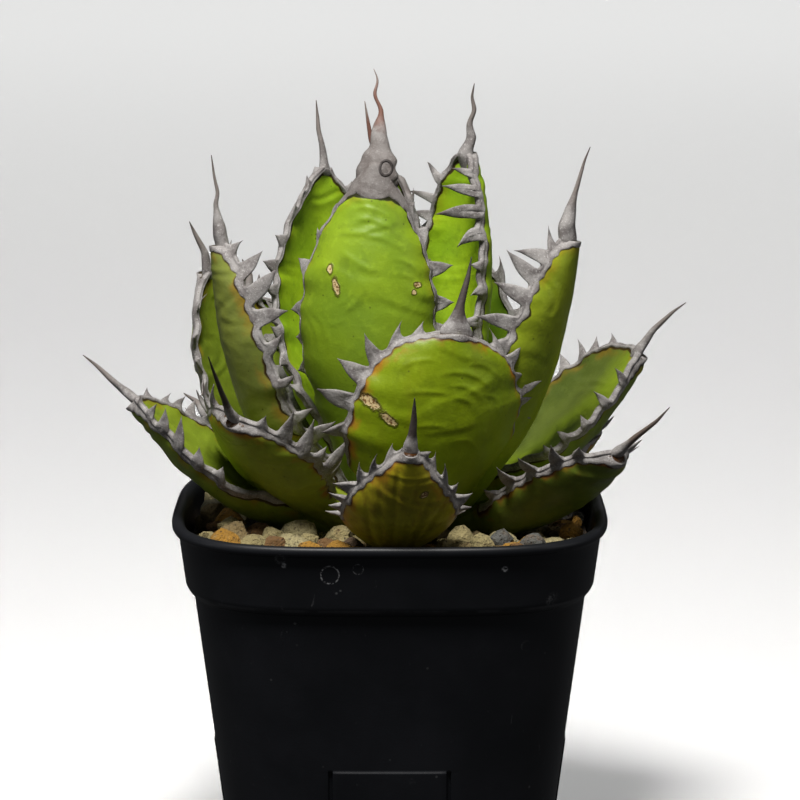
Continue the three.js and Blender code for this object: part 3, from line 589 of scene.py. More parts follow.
# %% Prints and unevenness
PRINTS = {
    3: [(-3.0, 73.6, 1.5, 72.6, 0.5, 0.7, 0.30), (-3.2, 71.6, 4.0, 70.2, 0.9, 0.8, 0.36),
        (-2.8, 69.2, 5.6, 66.6, 1.0, 0.8, 0.42), (-6.0, 65.6, 7.4, 63.2, 1.1, 0.9, 0.42),
        (-5.0, 61.6, 2.2, 57.2, -0.4, 0.8, 0.38), (6.0, 60.5, 12.0, 56.0, 1.3, 0.8, 0.38),
        (7.0, 57.0, 13.0, 51.5, 1.5, 0.8, 0.30), (-3.5, 56.5, -4.5, 49.5, 1.6, 0.6, 0.30),
        (-2.4, 58.0, -4.2, 47.2, 2.7, 0.7, 0.30), (-3.6, 46.5, -7.5, 45.0, 0.8, 0.7, 0.26),
        (-13.0, 46.0, -9.5, 38.0, 1.2, 0.8, 0.26), (-11.5, 47.5, -7.0, 39.0, 1.3, 0.7, 0.24)],
    9: [(-10.4, 39.4, -1.9, 40.2, 0.5, 0.8, 0.34), (-7.4, 32.6, -1.0, 33.0, 0.4, 0.8, 0.30),
        (-3.0, 44.5, 8.0, 42.0, 1.5, 0.9, 0.42), (-1.0, 42.0, 7.0, 38.5, 1.3, 0.8, 0.36),
        (0.0, 39.5, 6.0, 35.5, 1.2, 0.8, 0.32), (3.0, 47.0, 11.0, 44.0, 1.0, 0.9, 0.36),
        (8.0, 40.0, 12.0, 35.0, 1.4, 0.8, 0.32), (-12.0, 44.5, -5.0, 47.0, 0.8, 0.8, 0.30),
        (2.0, 30.0, 7.0, 27.0, 1.0, 0.8, 0.26)],
    7: [(-1.0, 62.0, 5.0, 60.0, 0.8, 0.8, 0.26), (0.0, 52.0, 7.0, 50.0, 0.8, 0.8, 0.26),
        (1.0, 44.0, 8.0, 41.0, 0.8, 0.8, 0.24), (2.0, 57.5, 7.0, 56.0, 0.6, 0.7, 0.22)],
    8: [(-8.0, 58.0, -3.0, 55.5, 0.6, 0.7, 0.26), (-9.0, 50.0, -4.0, 47.0, 0.6, 0.7, 0.24)],
    14: [(2.0, 28.0, 10.0, 24.0, 0.5, 0.7, 0.26), (-2.0, 24.0, 5.0, 20.0, 0.5, 0.7, 0.24)],
    17: [(-1.0, 14.0, -1.8, 43.0, 0.3, 0.9, -0.85), (2.0, 14.0, 5.4, 34.0, 0.5, 0.9, -0.75),
         (-4.0, 14.0, -8.0, 33.0, 0.5, 0.9, -0.7), (0.6, 16.0, 2.2, 37.0, 0.4, 0.8, -0.5),
         (-2.2, 16.0, -5.2, 36.0, 0.5, 0.8, -0.5), (4.0, 18.0, 8.4, 30.0, 0.5, 0.9, -0.6)],
}
RELIEF_WAVES = [(1, 15), (2, 17), (3, 22)]  # added to the seed, wavelength
RIDGE_WIDTH, RIDGE_HEIGHT, RIPPLE_HEIGHT, BROAD_HEIGHT = 0.13, 0.34, 0.16, 0.22


def prints(rows, x, y):
    """A bell across each bent line, less another bell beside it, fading at the line's ends."""
    total = np.zeros(x.shape)
    for x0, y0, x1, y1, bow, width, height in rows:
        length = np.hypot(x1 - x0, y1 - y0)
        c, d = (x1 - x0) / length, (y1 - y0) / length
        a = ((x - x0) * c + (y - y0) * d) / length
        far = ((y - y0) * c - (x - x0) * d - bow * 4 * a * (1 - a)) / (0.7 * width)
        ends = smooth(-0.15, 0.2, a) * (1 - smooth(0.8, 1.15, a))
        total += 0.42 * height * ends * (np.exp(-far * far) - 0.2 * np.exp(-((far + 1.9) ** 2)))
    return total


def relief(leaf, x, y, face):
    """Broad swells, plus faint ridges where a swell passes through nought, plus the listed prints."""
    shift = leaf["seed"] * 7.3 + 40 * face
    where = np.stack([0.55 * x + shift, y], -1)
    patch, fold, broad = (swell(where, wave, leaf["seed"] + n) for n, wave in RELIEF_WAVES)
    share = smooth(0.15, 0.75, y / leaf["length"]) * smooth(0.0, 0.5, patch + 0.3)
    ridge = np.exp(-((fold / RIDGE_WIDTH) ** 2))
    listed = PRINTS.get(leaf["number"], []) if face < 0 else []
    faint = 0.45 if listed else 1.0
    fine = RIDGE_HEIGHT * ridge + RIPPLE_HEIGHT * np.sin(fold * 9)
    return BROAD_HEIGHT * broad + faint * share * fine + prints(listed, x, y)


print("listed prints:", sum(map(len, PRINTS.values())))

# %% [markdown]
# ## The face of a leaf
# Both faces of the blade come from one function of two parameters, s along the leaf and t across it,
# from edge to edge. The section is an arc, its edges bulge and wave, and the prints fade towards them
# so that the horn lies close.

# %% Face points
def face_point(leaf, s, t, face, proud=0.0):
    """A point of the inner face (1) or the outer face (-1), lifted proud of it."""
    s, t = np.broadcast_arrays(np.asarray(s, float), np.asarray(t, float))
    point, _, across, inner = midrib(leaf, s)
    cup = cup_angle(leaf, s)
    radius = half_width(leaf, s) / cup
    a = cup * t
    reach = np.abs(t) ** 3
    wide, lifted = np.zeros(s.shape), np.zeros(s.shape)
    for side in (1, -1):
        mine = np.sign(t) == side
        wide = np.where(mine, side * reach * hump(leaf, s, side), wide)
        lifted = np.where(mine, reach * ruffle(leaf, s, side), lifted)
    form = relief(leaf, radius * a, s * leaf["length"], face) * (1 - reach * reach)
    if face > 0:
        lift = EDGE_THICKNESS / 2 + proud + 0.6 * form
    else:
        lift = EDGE_THICKNESS / 2 - thickness(leaf, s, t) - proud - form
    lift = lift + lifted
    x = radius * np.sin(a) - lift * np.sin(a) + wide * np.cos(a)
    y = radius * (1 - np.cos(a)) + lift * np.cos(a) + wide * np.sin(a)
    return point + x[..., None] * across + y[..., None] * inner


tip = face_point(LEAVES[2], 1.0, 0.0, 1)
print("the tip of the tallest leaf, in millimetres:", tip.round(1))

# %% [markdown]
# ## The edge laid flat
# Horn and teeth are measured along the edge, as a tape would run. So each edge is laid flat once and
# sampled, with its outward direction and how far the horn covers the blade there, which is most at
# the tip. The blade's finish needs the distance from that horn, to draw the thin line beside it.

# %% Edges
EDGE_SAMPLES, EDGE_START = 500, 0.06


class Edge:
    """One edge of a leaf laid flat: x across and y along, in mm, by distance u from the root."""

    def __init__(self, leaf, side):
        rise = np.sin(np.linspace(0, np.pi / 2, EDGE_SAMPLES))
        self.s = EDGE_START + (1 - EDGE_START) * rise
        self.x = half_width(leaf, self.s) + hump(leaf, self.s, side)
        self.y = self.s * leaf["length"]
        steps = np.hypot(np.diff(self.x), np.diff(self.y))
        self.u = np.concatenate([[0], np.cumsum(steps)])
        dx, dy = np.gradient(self.x, self.u), np.gradient(self.y, self.u)
        size = np.hypot(dx, dy)
        self.normal = np.stack([dy / size, -dx / size], -1)
        near_tip = np.exp(-((self.u[-1] - self.u) / (0.6 * leaf["cap"] + 1.2)))
        wobble = 0.35 * np.sin(self.u * 1.9 + leaf["seed"]) + 0.25 * np.sin(self.u * 0.83)
        narrow = 0.65 if leaf["bare"] else 0
        self.full = 1 - narrow * (1 - smooth(0.2, 0.5, self.s))
        self.cover = (0.8 + wobble * 0.45) * self.full + leaf["cap"] * near_tip

    def at(self, u):
        """Share along, x, y, both parts of the outward normal, and the horn's cover at u."""
        values = (self.s, self.x, self.y, self.normal[:, 0], self.normal[:, 1], self.cover)
        return [np.interp(u, self.u, v) for v in values]


def beyond_horn(leaf, x, y):
    """Distance in mm from the horn's rim, over the leaf's flat plan; below nought under it."""
    least = np.full(x.shape, 99.0)
    for side, edge in leaf["edges"].items():
        edge_x, edge_y, cover = (row[::4] for row in (edge.x, edge.y, edge.cover))
        far = np.hypot(x[..., None] - side * edge_x, y[..., None] - edge_y)
        least = np.minimum(least, (far - cover).min(-1))
    return least


for leaf in LEAVES:
    leaf["edges"] = {side: Edge(leaf, side) for side in (1, -1)}
print("length of the longest edge:", round(max(leaf["edges"][1].u[-1] for leaf in LEAVES)), "mm")

# %% [markdown]
# ## Blades
# The green blade is a closed body of rings: each ring runs over the inner face from edge to edge and
# back under the outer face. Its points carry how far they lie from the horny rim, so that the finish
# can draw the thin dark line there. The two largest leaves in front get the most points, for their
# fine prints, and the leaves at the back the fewest.

# %% Blade bodies
ROOT_SINK = 7
LARGE = {3, 9}
GRIDS = {"large": (190, 84), "seen": (118, 52), "back": (60, 26)}


def blade(leaf):
    """Rings at stations along the leaf, closer towards the tip, with points closer at the edges."""
    rank = "large" if leaf["number"] in LARGE else "seen" if leaf["fine"] else "back"
    rows, columns = GRIDS[rank]
    u = np.linspace(0, 1, rows)
    sink = ROOT_SINK / leaf["length"]
    stations = -sink + (1 + sink) * (1 - (1 - u) ** 1.25)
    q = np.linspace(-1, 1, columns)
    t = np.sin(q * np.pi / 2) * 0.6 + q * 0.4
    s = stations[:, None] + 0 * t[None, :]
    across = t[None, :] + 0 * s
    top = face_point(leaf, s, across, 1)
    under = face_point(leaf, s, across, -1)[:, ::-1]
    x, y = half_width(leaf, s) * across, s * leaf["length"]
    rim = beyond_horn(leaf, x, y)
    both = np.concatenate
    return shell(
        both([top, under], 1),
        rim=both([rim, rim[:, ::-1]], 1),
        across_mm=both([x, x[:, ::-1]], 1),
        along_mm=both([y, y[:, ::-1]], 1),
        inner=both([np.ones(s.shape), np.zeros(s.shape)], 1),
    )


print("points on a blade, by rank:", {rank: 2 * n * m for rank, (n, m) in GRIDS.items()})

# %% [markdown]
# ## Horny margins
# The horn grips the blade's edge with a lip on both faces and runs out into teeth. Teeth could be
# modelled one by one and joined, but here they are one profile carried along the edge, so horn and
# teeth are a single skin. The profile reaches as far out as the tooth at that place is long, and its
# outer part is pushed along and lifted by the tooth's lean and curl, so each tooth hooks its own way.
# Three helpers come first: the profile, the stations along the edge, and the points of a lip.

# %% Tooth profile, stations and lip
STRIP_WIDTH = 0.55
THIN_BASE = 1.35
REACHES = np.array([0.2, 0.42, 0.62, 0.78, 0.9, 0.97])
TOOTH_STEPS = np.array([0, 0.04, 0.1, 0.18, 0.3, 0.45, 0.62, 0.8, 1.0])
LIP_SHARES = (1.0, 0.82, 0.62, 0.42, 0.22)
TOOTH_ROOT, TOOTH_POINT = 0.56, 0.09  # half thickness


def tooth_profile(far):
    """Height from 0 to 1 over the distance from the tooth's middle: hollow flanks, a fine point."""
    flank = np.clip(1 - far, 0, 1) ** 1.5
    return 0.84 * flank + 0.16 * np.exp(-far / 0.06)


def stations_along(leaf, edge, middle, base):
    """Distances along the edge: an even row, and closer ones over each tooth."""
    steps = TOOTH_STEPS if leaf["fine"] else TOOTH_STEPS[::2]
    offsets = np.concatenate([-steps[:0:-1], steps])
    near = (middle[:, None] + base[:, None] * offsets).ravel()
    end = edge.u[-1]
    even = np.arange(0, end, 0.8 if leaf["fine"] else 1.6)
    u = np.sort(np.concatenate([near, even, [end]]))
    u = u[(u >= 0) & (u <= end)]
    return u[np.concatenate([[True], np.diff(u) > 0.05])]


def lip(leaf, side, line, depth, face, proud):
    """Points on a face, that far in from the edge line along its normal."""
    x, y, nx, ny = line
    share = (y - depth * ny) / leaf["length"]
    wide = half_width(leaf, share) + hump(leaf, share, side)
    inside = np.clip(np.maximum(0, x - depth * nx) / wide, 0, 1)
    return face_point(leaf, share, side * inside, face, proud)


print("heights across half a tooth:", tooth_profile(TOOTH_STEPS).round(2))

# %% [markdown]
# ## A margin's rings
# At each station along the edge the ring starts inside the blade, comes up through the lip on the
# inner face, runs out over the tooth and back, and goes down through the lip on the outer face. The
# tooth's own numbers set where its outer points go: lean along the edge, curl off the leaf's plane.

# %% Margin strips
def strip(leaf, side):
    """The lip and teeth of one edge as rings around the edge line."""
    edge = leaf["edges"][side]
    rows = leaf["teeth"][side]
    middle = np.interp(rows[:, 0], edge.s, edge.u)
    length, lean, curl, base = (rows[:, n] for n in range(1, 5))
    u = stations_along(leaf, edge, middle, base)
    s, x, y, nx, ny, cover = edge.at(u)
    heights = length * tooth_profile(np.abs(u[:, None] - middle) / base)
    mine = heights.argmax(1)
    rise = smooth(0, 0.06, u / edge.u[-1])
    strip_width = (STRIP_WIDTH + 0.15 * np.sin(u * 1.3 + leaf["seed"])) * rise + 0.15
    strip_width = strip_width * np.interp(u, edge.u, edge.full)
    reach = strip_width + heights.max(1)
    _, along, across, inner = midrib(leaf, s)
    cup = cup_angle(leaf, s)
    flare = cup * leaf["flare"][0 if side > 0 else 1]
    ones = side * np.ones(len(s))
    edge_in, edge_out = (face_point(leaf, s, ones, face, 0.2) for face in (1, -1))
    line = (edge_in + edge_out) / 2
    tangent = unit(np.gradient(line, u, axis=0))

    def outer(share, way):
        away = share * reach
        v = np.clip((away - strip_width) / length[mine], 0, 1)
        thick = (TOOTH_ROOT * (1 - v) ** 0.7 + TOOTH_POINT) * np.sqrt(1 - share**5)
        lift = curl[mine] * v**2 + way * thick
        angle = cup + (flare - cup) * smooth(0, 2.5, away)
        sideways = side * (np.cos(angle) * nx * away - np.sin(angle) * lift)
        upwards = np.sin(angle) * nx * away + np.cos(angle) * lift
        moved = line + sideways[:, None] * across + upwards[:, None] * inner
        return moved + (away * ny)[:, None] * along + (lean[mine] * v**1.35)[:, None] * tangent, v

    ring, shares = [], []
    lips = LIP_SHARES if leaf["fine"] else LIP_SHARES[::2]
    for face in (1, -1):
        depth = cover * (0.6 if face > 0 else 1.0)
        rims = [(depth + 0.3, -0.35), *((depth * k, 0.05 + 0.22 * (1 - k) ** 0.5) for k in lips)]
        part = [(lip(leaf, side, (x, y, nx, ny), deep, face, proud), 0) for deep, proud in rims]
        part += [(edge_in if face > 0 else edge_out, 0)]
        part += [outer(share, face) for share in REACHES]
        if face > 0:
            part.append(outer(1.0, 0))
        part = part[::face]
        ring += [p for p, _ in part]
        shares += [v + 0 * u for _, v in part]
    if len(ring) % 2:
        ring.insert(1, (ring[0] + ring[1]) / 2)
        shares.insert(1, shares[0])
    draw = np.random.default_rng(leaf["seed"] + side).uniform(size=len(rows))
    draw = np.where(base < THIN_BASE, 1, 0.85 * draw)
    values = {"point": np.stack(shares, 1), "draw": draw[mine][:, None], "spine": -1.0}
    return shell(np.stack(ring, 1), **values)


print("points on the longest margin's strip:", len(strip(LEAVES[4], 1)[0]))

# %% [markdown]
# ## Caps
# At the tip the lips of both edges meet only at the outline. A low tongue of horn over each face
# closes the gap between them, and on the tallest leaf it becomes a whole cap.

# %% Caps
def cap(leaf, face):
    """A horny tongue over the middle of the blade's tip, between the lips of both edges."""
    deep = leaf["edges"][1].cover[-1] + 0.25
    wide = 2.2 + 0.55 * leaf["cap"]
    away = np.sin(np.linspace(0, 1, 14) * np.pi / 2) * deep
    q = np.linspace(-1, 1, 17)
    narrowing = np.sqrt(np.maximum(0, 1 - (away / deep) ** 2))[:, None]
    share = np.repeat(1 - away[:, None] / leaf["length"], len(q), 1)
    x = np.minimum(wide * narrowing, half_width(leaf, share) - 0.05) * q
    proud = 0.04 + 0.3 * np.sqrt(np.maximum(0, 1 - q * q)) * narrowing
    t = x / half_width(leaf, share)
    skin = face_point(leaf, share, t, face, proud)
    under = face_point(leaf, share, t, face, -0.4)[:, ::-1]
    return shell(np.concatenate([skin, under], 1), point=0.0, draw=0.5, spine=-1.0)


print("the deepest cap:", round(max(leaf["edges"][1].cover[-1] for leaf in LEAVES), 1), "mm")

# %% [markdown]
# ## End spines
# The end spine is a tube of flat rings that leaves the blade's tip with a broad foot. Its path is
# given by how far it goes, how far it sways across the leaf and how far it nods towards the inner
# face, so that each spine bends in its own way. A leaf that isn't listed takes a swaying arc from the
# table of leaves, and the foot that is listed under nought.

# %% Spine paths and feet
PATHS = {
    # distance from the tip, sway across the leaf, nod towards the inner face
    2: [(8.2, 5.4, 0.8), (14.0, 6.4, 0.6), (18.6, 7.1, 0.6)],
    3: [(3.9, -0.1, 0), (9.0, -1.1, -0.1), (13.7, -1.2, -0.2), (17.1, -3.6, -0.5), (20.9, -3.1, -0.4),
        (23.4, -4.6, -0.6)],
    4: [(5.2, 1.0, -1.0), (9.2, 2.1, -2.1), (12.5, 2.6, -2.6), (16.5, 3.2, -3.3)],
    5: [(4.0, -1.1, -1.5), (7.4, -1.0, -1.3), (10.5, -2.0, -2.6), (13.8, -1.7, -2.3), (17, -2.3, -3)],
    7: [(5.9, -0.1, -0.7), (9.9, -0.2, -1.1), (12.2, 0, -0.4), (16.2, -0.1, -1.1), (21.3, -0.2, -1.5)],
    8: [(3.2, 0, 0.7), (8.7, 0, 0.3), (12.7, 0.2, -0.3), (19.2, 0.7, -1.1), (22.4, 1.0, -1.9)],
    9: [(5.1, 0, 0), (8.2, 0.5, -0.2), (13.7, 1.4, -0.6), (18.4, 1.8, -0.7)],
    10: [(5.0, 0.1, -0.1), (10.6, 1.4, -1.5), (13.4, 2.0, -2.0)],
    14: [(2.5, -0.4, -0.5), (10.0, -0.6, -0.3), (17.9, -1.0, 0.3), (22.2, -1.3, 0.8)],
    15: [(6.7, 0, -0.1), (13.3, -0.6, -1.3), (17.0, -1.1, -2.5)],
    16: [(6.8, 0.3, -1.0), (12.4, 0.3, -1.4), (16.4, 0.4, -2.1)],
    17: [(7.1, 0, 0), (13.4, -0.6, -0.1)],
    18: [(7.9, 0.5, -0.6), (15.1, 1.3, -1.2), (20.6, 1.6, -1.0)],
}
FEET = {
    # distance from the tip, half width, half depth
    0: [(-2, 1.8, 0.8), (0, 1.9, 1.2), (1.5, 1.6, 1.2), (3, 1.25, 1.05), (5, 0.95, 0.85),
        (8, 0.7, 0.7)],
    3: [(-5, 4.2, 1.4), (-2, 4.9, 2.0), (0, 4.9, 2.2), (2.0, 4.4, 2.1), (3.4, 3.2, 1.9),
        (5, 2.3, 1.6), (7, 2.0, 1.4), (9, 1.8, 1.2), (10.6, 1.3, 1.0), (12.2, 0.65, 0.65)],
    4: [(-1.5, 1.8, 0.9), (0, 1.7, 1.2), (2, 1.2, 1.0), (4, 0.9, 0.85), (7, 0.7, 0.7)],
    5: [(-4, 1.9, 1.0), (-2, 2.3, 1.6), (0, 2.3, 1.8), (1.5, 1.9, 1.6), (3, 1.5, 1.3), (5, 1.1, 1.0),
        (7, 0.75, 0.75)],
    7: [(-2, 2.2, 1.2), (0, 2.2, 1.6), (2, 2.0, 1.8), (4.4, 1.8, 1.6), (6.5, 1.2, 1.1),
        (8.5, 0.65, 0.65), (12, 0.48, 0.48)],
    8: [(-1.5, 2.6, 1.4), (0, 3.0, 2.0), (3.2, 2.9, 2.0), (5.5, 1.9, 1.6), (7.5, 1.4, 1.3),
        (9.5, 0.85, 0.85), (11.5, 0.6, 0.6), (15, 0.45, 0.45)],
    9: [(-1.2, 3.4, 1.0), (0, 4.4, 1.4), (1.5, 3.8, 1.6), (3, 2.5, 1.5), (5, 1.6, 1.3), (7, 1.0, 1.0)],
}
print("listed spine paths:", len(PATHS), "feet:", len(FEET))

# %% [markdown]
# ## Spine tubes
# The listed points are joined by straight lines and then rounded off, both for the path and for the
# sizes of the foot. A fine swell makes the foot a little lumpy and fades along the spine. The path is
# drawn in the leaf's own directions at its tip, so a spine always leaves in line with the midrib.

# %% Spine tubes
SPINE_SIDES = 16
SPINE_MIDDLE, SPINE_POINT = 0.66, 0.1  # share of the foot's last width, half width in mm


def spine_path(leaf):
    """The listed path, or else a swaying arc from the table's angles."""
    listed = PATHS.get(leaf["number"])
    if listed:
        return np.array([(0, 0, 0), *listed], float)
    u = np.linspace(0, 1, 9)
    away = u * leaf["spine"]
    weave = leaf["wave"] * np.sin(2 * np.pi * 1.3 * u) * u**1.2 * 1.2
    sway = np.tan(leaf["spine_side"] * DEGREE * u) * away / 2 + weave
    return np.stack([away, sway, np.tan(leaf["spine_rise"] * DEGREE * u) * away / 2], -1)


def rounded(values, turns=3):
    """Corners rounded off by taking the mean of neighbours a few times over."""
    for _ in range(turns):
        inside = (values[:-2] + values[1:-1] + values[2:]) / 3
        values = np.concatenate([values[:1], inside, values[-1:]])
    return values


def spine(leaf):
    """A tube of ellipses along the path, from a foot sunk in the blade to a fine point."""
    tip, along, across, inner = (v[0] for v in midrib(leaf, np.array([1.0])))
    path = spine_path(leaf)
    length = path[-1, 0]
    foot = np.array([row for row in FEET.get(leaf["number"], FEET[0]) if row[0] < 0.6 * length])
    away = np.linspace(foot[0, 0], length, 54 if leaf["fine"] else 30)
    marks = np.concatenate([foot[:, 0], foot[-1, 0] + (length - foot[-1, 0]) * np.array([0.5, 1])])
    sizes = [[*foot[:, k], foot[-1, k] * SPINE_MIDDLE, SPINE_POINT] for k in (1, 2)]
    wide, deep = (rounded(np.interp(away, marks, size), 2) for size in sizes)
    sway, nod = (rounded(np.interp(away, path[:, 0], path[:, k])) for k in (1, 2))
    cup = leaf["cup"][1] * DEGREE
    brim = TIP_HALF_WIDTH / cup * (1 - np.cos(cup))
    nod = nod + (brim * 0.6 - 0.3) * (1 - smooth(0, 8, away))
    centre = tip + away[:, None] * along + sway[:, None] * across + nod[:, None] * inner
    a = np.arange(SPINE_SIDES) * 2 * np.pi / SPINE_SIDES
    lumps = swell(np.stack(np.broadcast_arrays(away[:, None], 2.5 * np.sin(a), 2.5 * np.cos(a)), -1),
                  4.5, leaf["seed"])
    size = 1 + 0.1 * lumps * (1 - smooth(2, 12, away))[:, None]
    rings = centre[:, None] + (wide[:, None] * np.cos(a) * size)[..., None] * across
    rings = rings + (deep[:, None] * np.sin(a) * size)[..., None] * inner
    return shell(rings, point=0.0, draw=0.5, spine=np.clip(away / length, 0, 1)[:, None])


print("lengths of the spines:", [round(float(spine_path(leaf)[-1, 0])) for leaf in LEAVES], "mm")

# %% [markdown]
# ## Colours of the skin
# The skin is a satin yellow-green, and each kind of leaf has its own set: the young ones fresh, the old
# one by the pot's rim brown, those in the shade dull. Some carry corky scars, listed as ellipses on
# the flat leaf. The numbers are linear shares of red, green and blue.

# %% Skin colours and scars
SKINS = {
    # green, second green, rim line, its width, browning, greying, orange glow along the rim
    "plain": ((0.20, 0.33, 0.015), (0.14, 0.25, 0.015), (0.07, 0.045, 0.012), 0.5, 0.0, 0.0, 0.15),
    "fresh": ((0.29, 0.44, 0.012), (0.20, 0.34, 0.010), (0.09, 0.055, 0.015), 0.5, 0.0, 0.0, 0.2),
    "tall": ((0.235, 0.35, 0.008), (0.155, 0.26, 0.010), (0.05, 0.05, 0.015), 0.5, 0.0, 0.1, 0.2),
    "mild": ((0.18, 0.245, 0.010), (0.125, 0.18, 0.008), (0.09, 0.055, 0.015), 0.5, 0.05, 0.1, 0.4),
    # painted shadow: a dark skin, where the leaf above shades this leaf's inner face
    "dim": ((0.075, 0.10, 0.014), (0.052, 0.075, 0.010), (0.09, 0.055, 0.015), 0.5, 0.0, 0.06, 0.3),
    "grey": ((0.195, 0.225, 0.02), (0.135, 0.17, 0.012), (0.09, 0.055, 0.02), 0.6, 0.06, 0.4, 0.5),
    "warm": ((0.25, 0.31, 0.008), (0.185, 0.25, 0.008), (0.07, 0.05, 0.015), 0.5, 0.06, 0.08, 0.3),
    "broad": ((0.20, 0.27, 0.004), (0.15, 0.215, 0.004), (0.15, 0.055, 0.01), 0.9, 0.10, 0.0, 0.9),
    "low": ((0.33, 0.40, 0.018), (0.24, 0.31, 0.014), (0.17, 0.07, 0.02), 0.8, 0.12, 0.2, 0.9),
    "old": ((0.37, 0.34, 0.012), (0.22, 0.19, 0.008), (0.12, 0.04, 0.01), 0.9, 0.55, 0.0, 0.7),
    "shade": ((0.13, 0.17, 0.010), (0.085, 0.12, 0.008), (0.15, 0.055, 0.015), 0.8, 0.12, 0.1, 0.8),
}
SCARS = {
    # middle across and along, half length, half width, turn
    "tall": [(-7.3, 57.4, 0.6, 1.0, 0.0), (-5.7, 53.4, 0.62, 1.8, 0.25),
             (11.5, 54.6, 0.9, 0.7, 0.0), (10.5, 52.8, 0.55, 0.55, 0.0)],
    "broad": [(-18.3, 36.1, 2.7, 1.1, -0.41), (-13.6, 33.2, 2.0, 0.85, -0.44)],
    "old": [(3.9, 34.3, 0.7, 0.7, 0.0)],
}
print("skins:", len(SKINS), "scars:", sum(map(len, SCARS.values())))

# %% [markdown]
# ## Layers of the skin
# Broad soft patches shift the skin between two greens, and fine mottling breaks it up. A thin dark
# line with an orange glow follows the horny rim, wherever the carried distance is small. A scar is
# a pale crust in a dark outline. Each layer is one function, laid over the colour that it is given.

# %% Skin layers
def mottled(f, green, second):
    """Two greens by broad noise, then paler and darker spots by finer noise."""
    colour = f.mix(green, second, (f.noise(15, 2, 0.5) * 1.7 - 0.35).step(0.15, 0.85))
    paler = tuple(min(1, c * 1.3 + 0.01) for c in green)
    colour = f.mix(colour, paler, f.noise(2.2, 3, 0.6).step(0.5, 0.75) * 0.35)
    darker = tuple(0.6 * c for c in second)
    return f.mix(colour, darker, f.noise(4.5, 3, 0.6).step(0.52, 0.75) * 0.45)


def rim_line(f, colour, line, line_width, glow):
    """A dark line, a brown one and a patchy orange band by the distance from the horn."""
    rim = f.carried("rim")
    wobble = (f.noise(1.6, 3, 0.6) - 0.5) * 0.8
    patches = f.noise(7, 2, 0.6).step(0.45, 0.62)
    band = (rim + wobble * 2.4).step(2.8, 0.3) * patches
    colour = f.mix(colour, (0.33, 0.13, 0.010), band * glow)
    near = (rim + wobble).step(line_width, 0.05)
    colour = f.mix(colour, line, near * 0.9)
    dark = (rim + wobble * 0.35).step(0.4, 0.12)
    return f.mix(colour, tuple(0.3 * c for c in line), dark * 0.9)


def scar_distance(f, x, y, row):
    """Nought at a scar's middle and one on its outline, with a ragged rim."""
    cx, cy, half_length, half_across, turn = row
    c, d = float(np.cos(turn)), float(np.sin(turn))
    u = ((x - cx) * c + (y - cy) * d) / half_length
    v = ((y - cy) * c - (x - cx) * d) / half_across
    return (u * u + v * v) ** 0.5 + (f.noise(1.3, 3, 0.6) - 0.5) * 1.5


def scarred(f, colour, height, row, x, y, outer):
    """A scar on the outer face: its colour and its height over the skin's."""
    far = scar_distance(f, x, y, row)
    outline = far.step(1.6, 1.1) * outer
    crust = far.step(1.05, 0.8) * outer
    colour = f.mix(colour, (0.07, 0.05, 0.012), outline * 0.75)
    tan = f.mix((0.60, 0.46, 0.24), (0.16, 0.08, 0.025), f.noise(0.7, 2).step(0.45, 0.62))
    return f.mix(colour, tan, crust), height + outline * 1.0 - crust * 2.0


print("skin layers:", [layer.__name__ for layer in (mottled, rim_line, scarred)])

# %% [markdown]
# ## Leaf skins
# The layers come together here. Three kinds of leaf have more: the tallest has painted shade on its
# outer face near its root, the half-shadowed one has a painted shadow of the leaf above over its inner
# face, with one side left lighter, and the old one is greener on its inner face.
# A little light passes under the surface, as in any fleshy leaf, and the shine is low.

# %% Leaf skins
def leaf_skin(name):
    """Mottled greens, greying, painted shade on two leaves, a greener inside, brown streaks, specks,
    the rim's line and scars.
    """
    green, second, line, line_width, browning, greying, glow = SKINS[name]
    f = Finish(f"leaf_skin_{name}", Roughness=0.45, Specular_IOR_Level=0.22,
               Subsurface_Weight=0.08, Subsurface_Radius=(0.8, 1.0, 0.2), Subsurface_Scale=MM)
    x, y = f.carried("across_mm"), f.carried("along_mm")
    outer = 1 - f.carried("inner")
    colour = mottled(f, green, second)
    colour = f.mix(colour, (0.17, 0.20, 0.06), (f.noise(9, 2) * 0.8 + 0.6) * greying)
    if name == "dim":
        # Painted shadow: the dark skin stands for the shade of the leaf above; the side out of it gets
        # a lighter green, and the outer face a plain one.
        lit_side = (x * -1 + f.noise(9, 2) * 9).step(-4, 7)
        colour = f.mix(colour, (0.20, 0.28, 0.012), lit_side * 0.95)
        colour = f.mix(colour, (0.15, 0.21, 0.010), outer * 0.9)
    if name == "tall":
        # Painted shade: the outer face darkens towards the root, where the leaves in front shade it.
        colour = f.mix(colour, (0.095, 0.15, 0.008), y.step(54, 28) * outer * 0.7)
    if name == "old":
        colour = f.mix(colour, (0.20, 0.24, 0.012), (1 - outer) * 0.85)
    streaks = f.noise(5, 3, 0.6, 0.4, f.place((1.6, 1.6, 0.3)))
    colour = f.mix(colour, (0.15, 0.065, 0.012), streaks.step(0.45, 0.78) * browning)
    specks = f.cells(2.6).step(0.12, 0.05) * f.noise(9, 1).step(0.45, 0.6)
    colour = f.mix(colour, (0.045, 0.05, 0.008), specks * 0.7)
    colour = rim_line(f, colour, line, line_width, glow)
    height = f.noise(0.7, 3, 0.6) * 0.35 + f.noise(2.2, 3, 0.6) * 0.8 + f.noise(5, 2) * 1.2
    for row in SCARS.get(name, []):
        colour, height = scarred(f, colour, height, row, x, y, outer)
    f.bump(height, 0.17, 0.6)
    return f.done(Base_Color=colour, Roughness=f.noise(3.5, 2) * 0.16 + 0.36)


skins = {name: leaf_skin(name) for name in SKINS}
print("leaf skins:", ", ".join(skins))

# %% [markdown]
# ## Horn
# The margins and spines are dry, light grey horn with a fine grain. The points of some teeth turn
# reddish brown, and the end spines darken from the foot outwards, each leaf in its own way. The cap
# of the tallest leaf is darker and has a ring-shaped scar on its front.

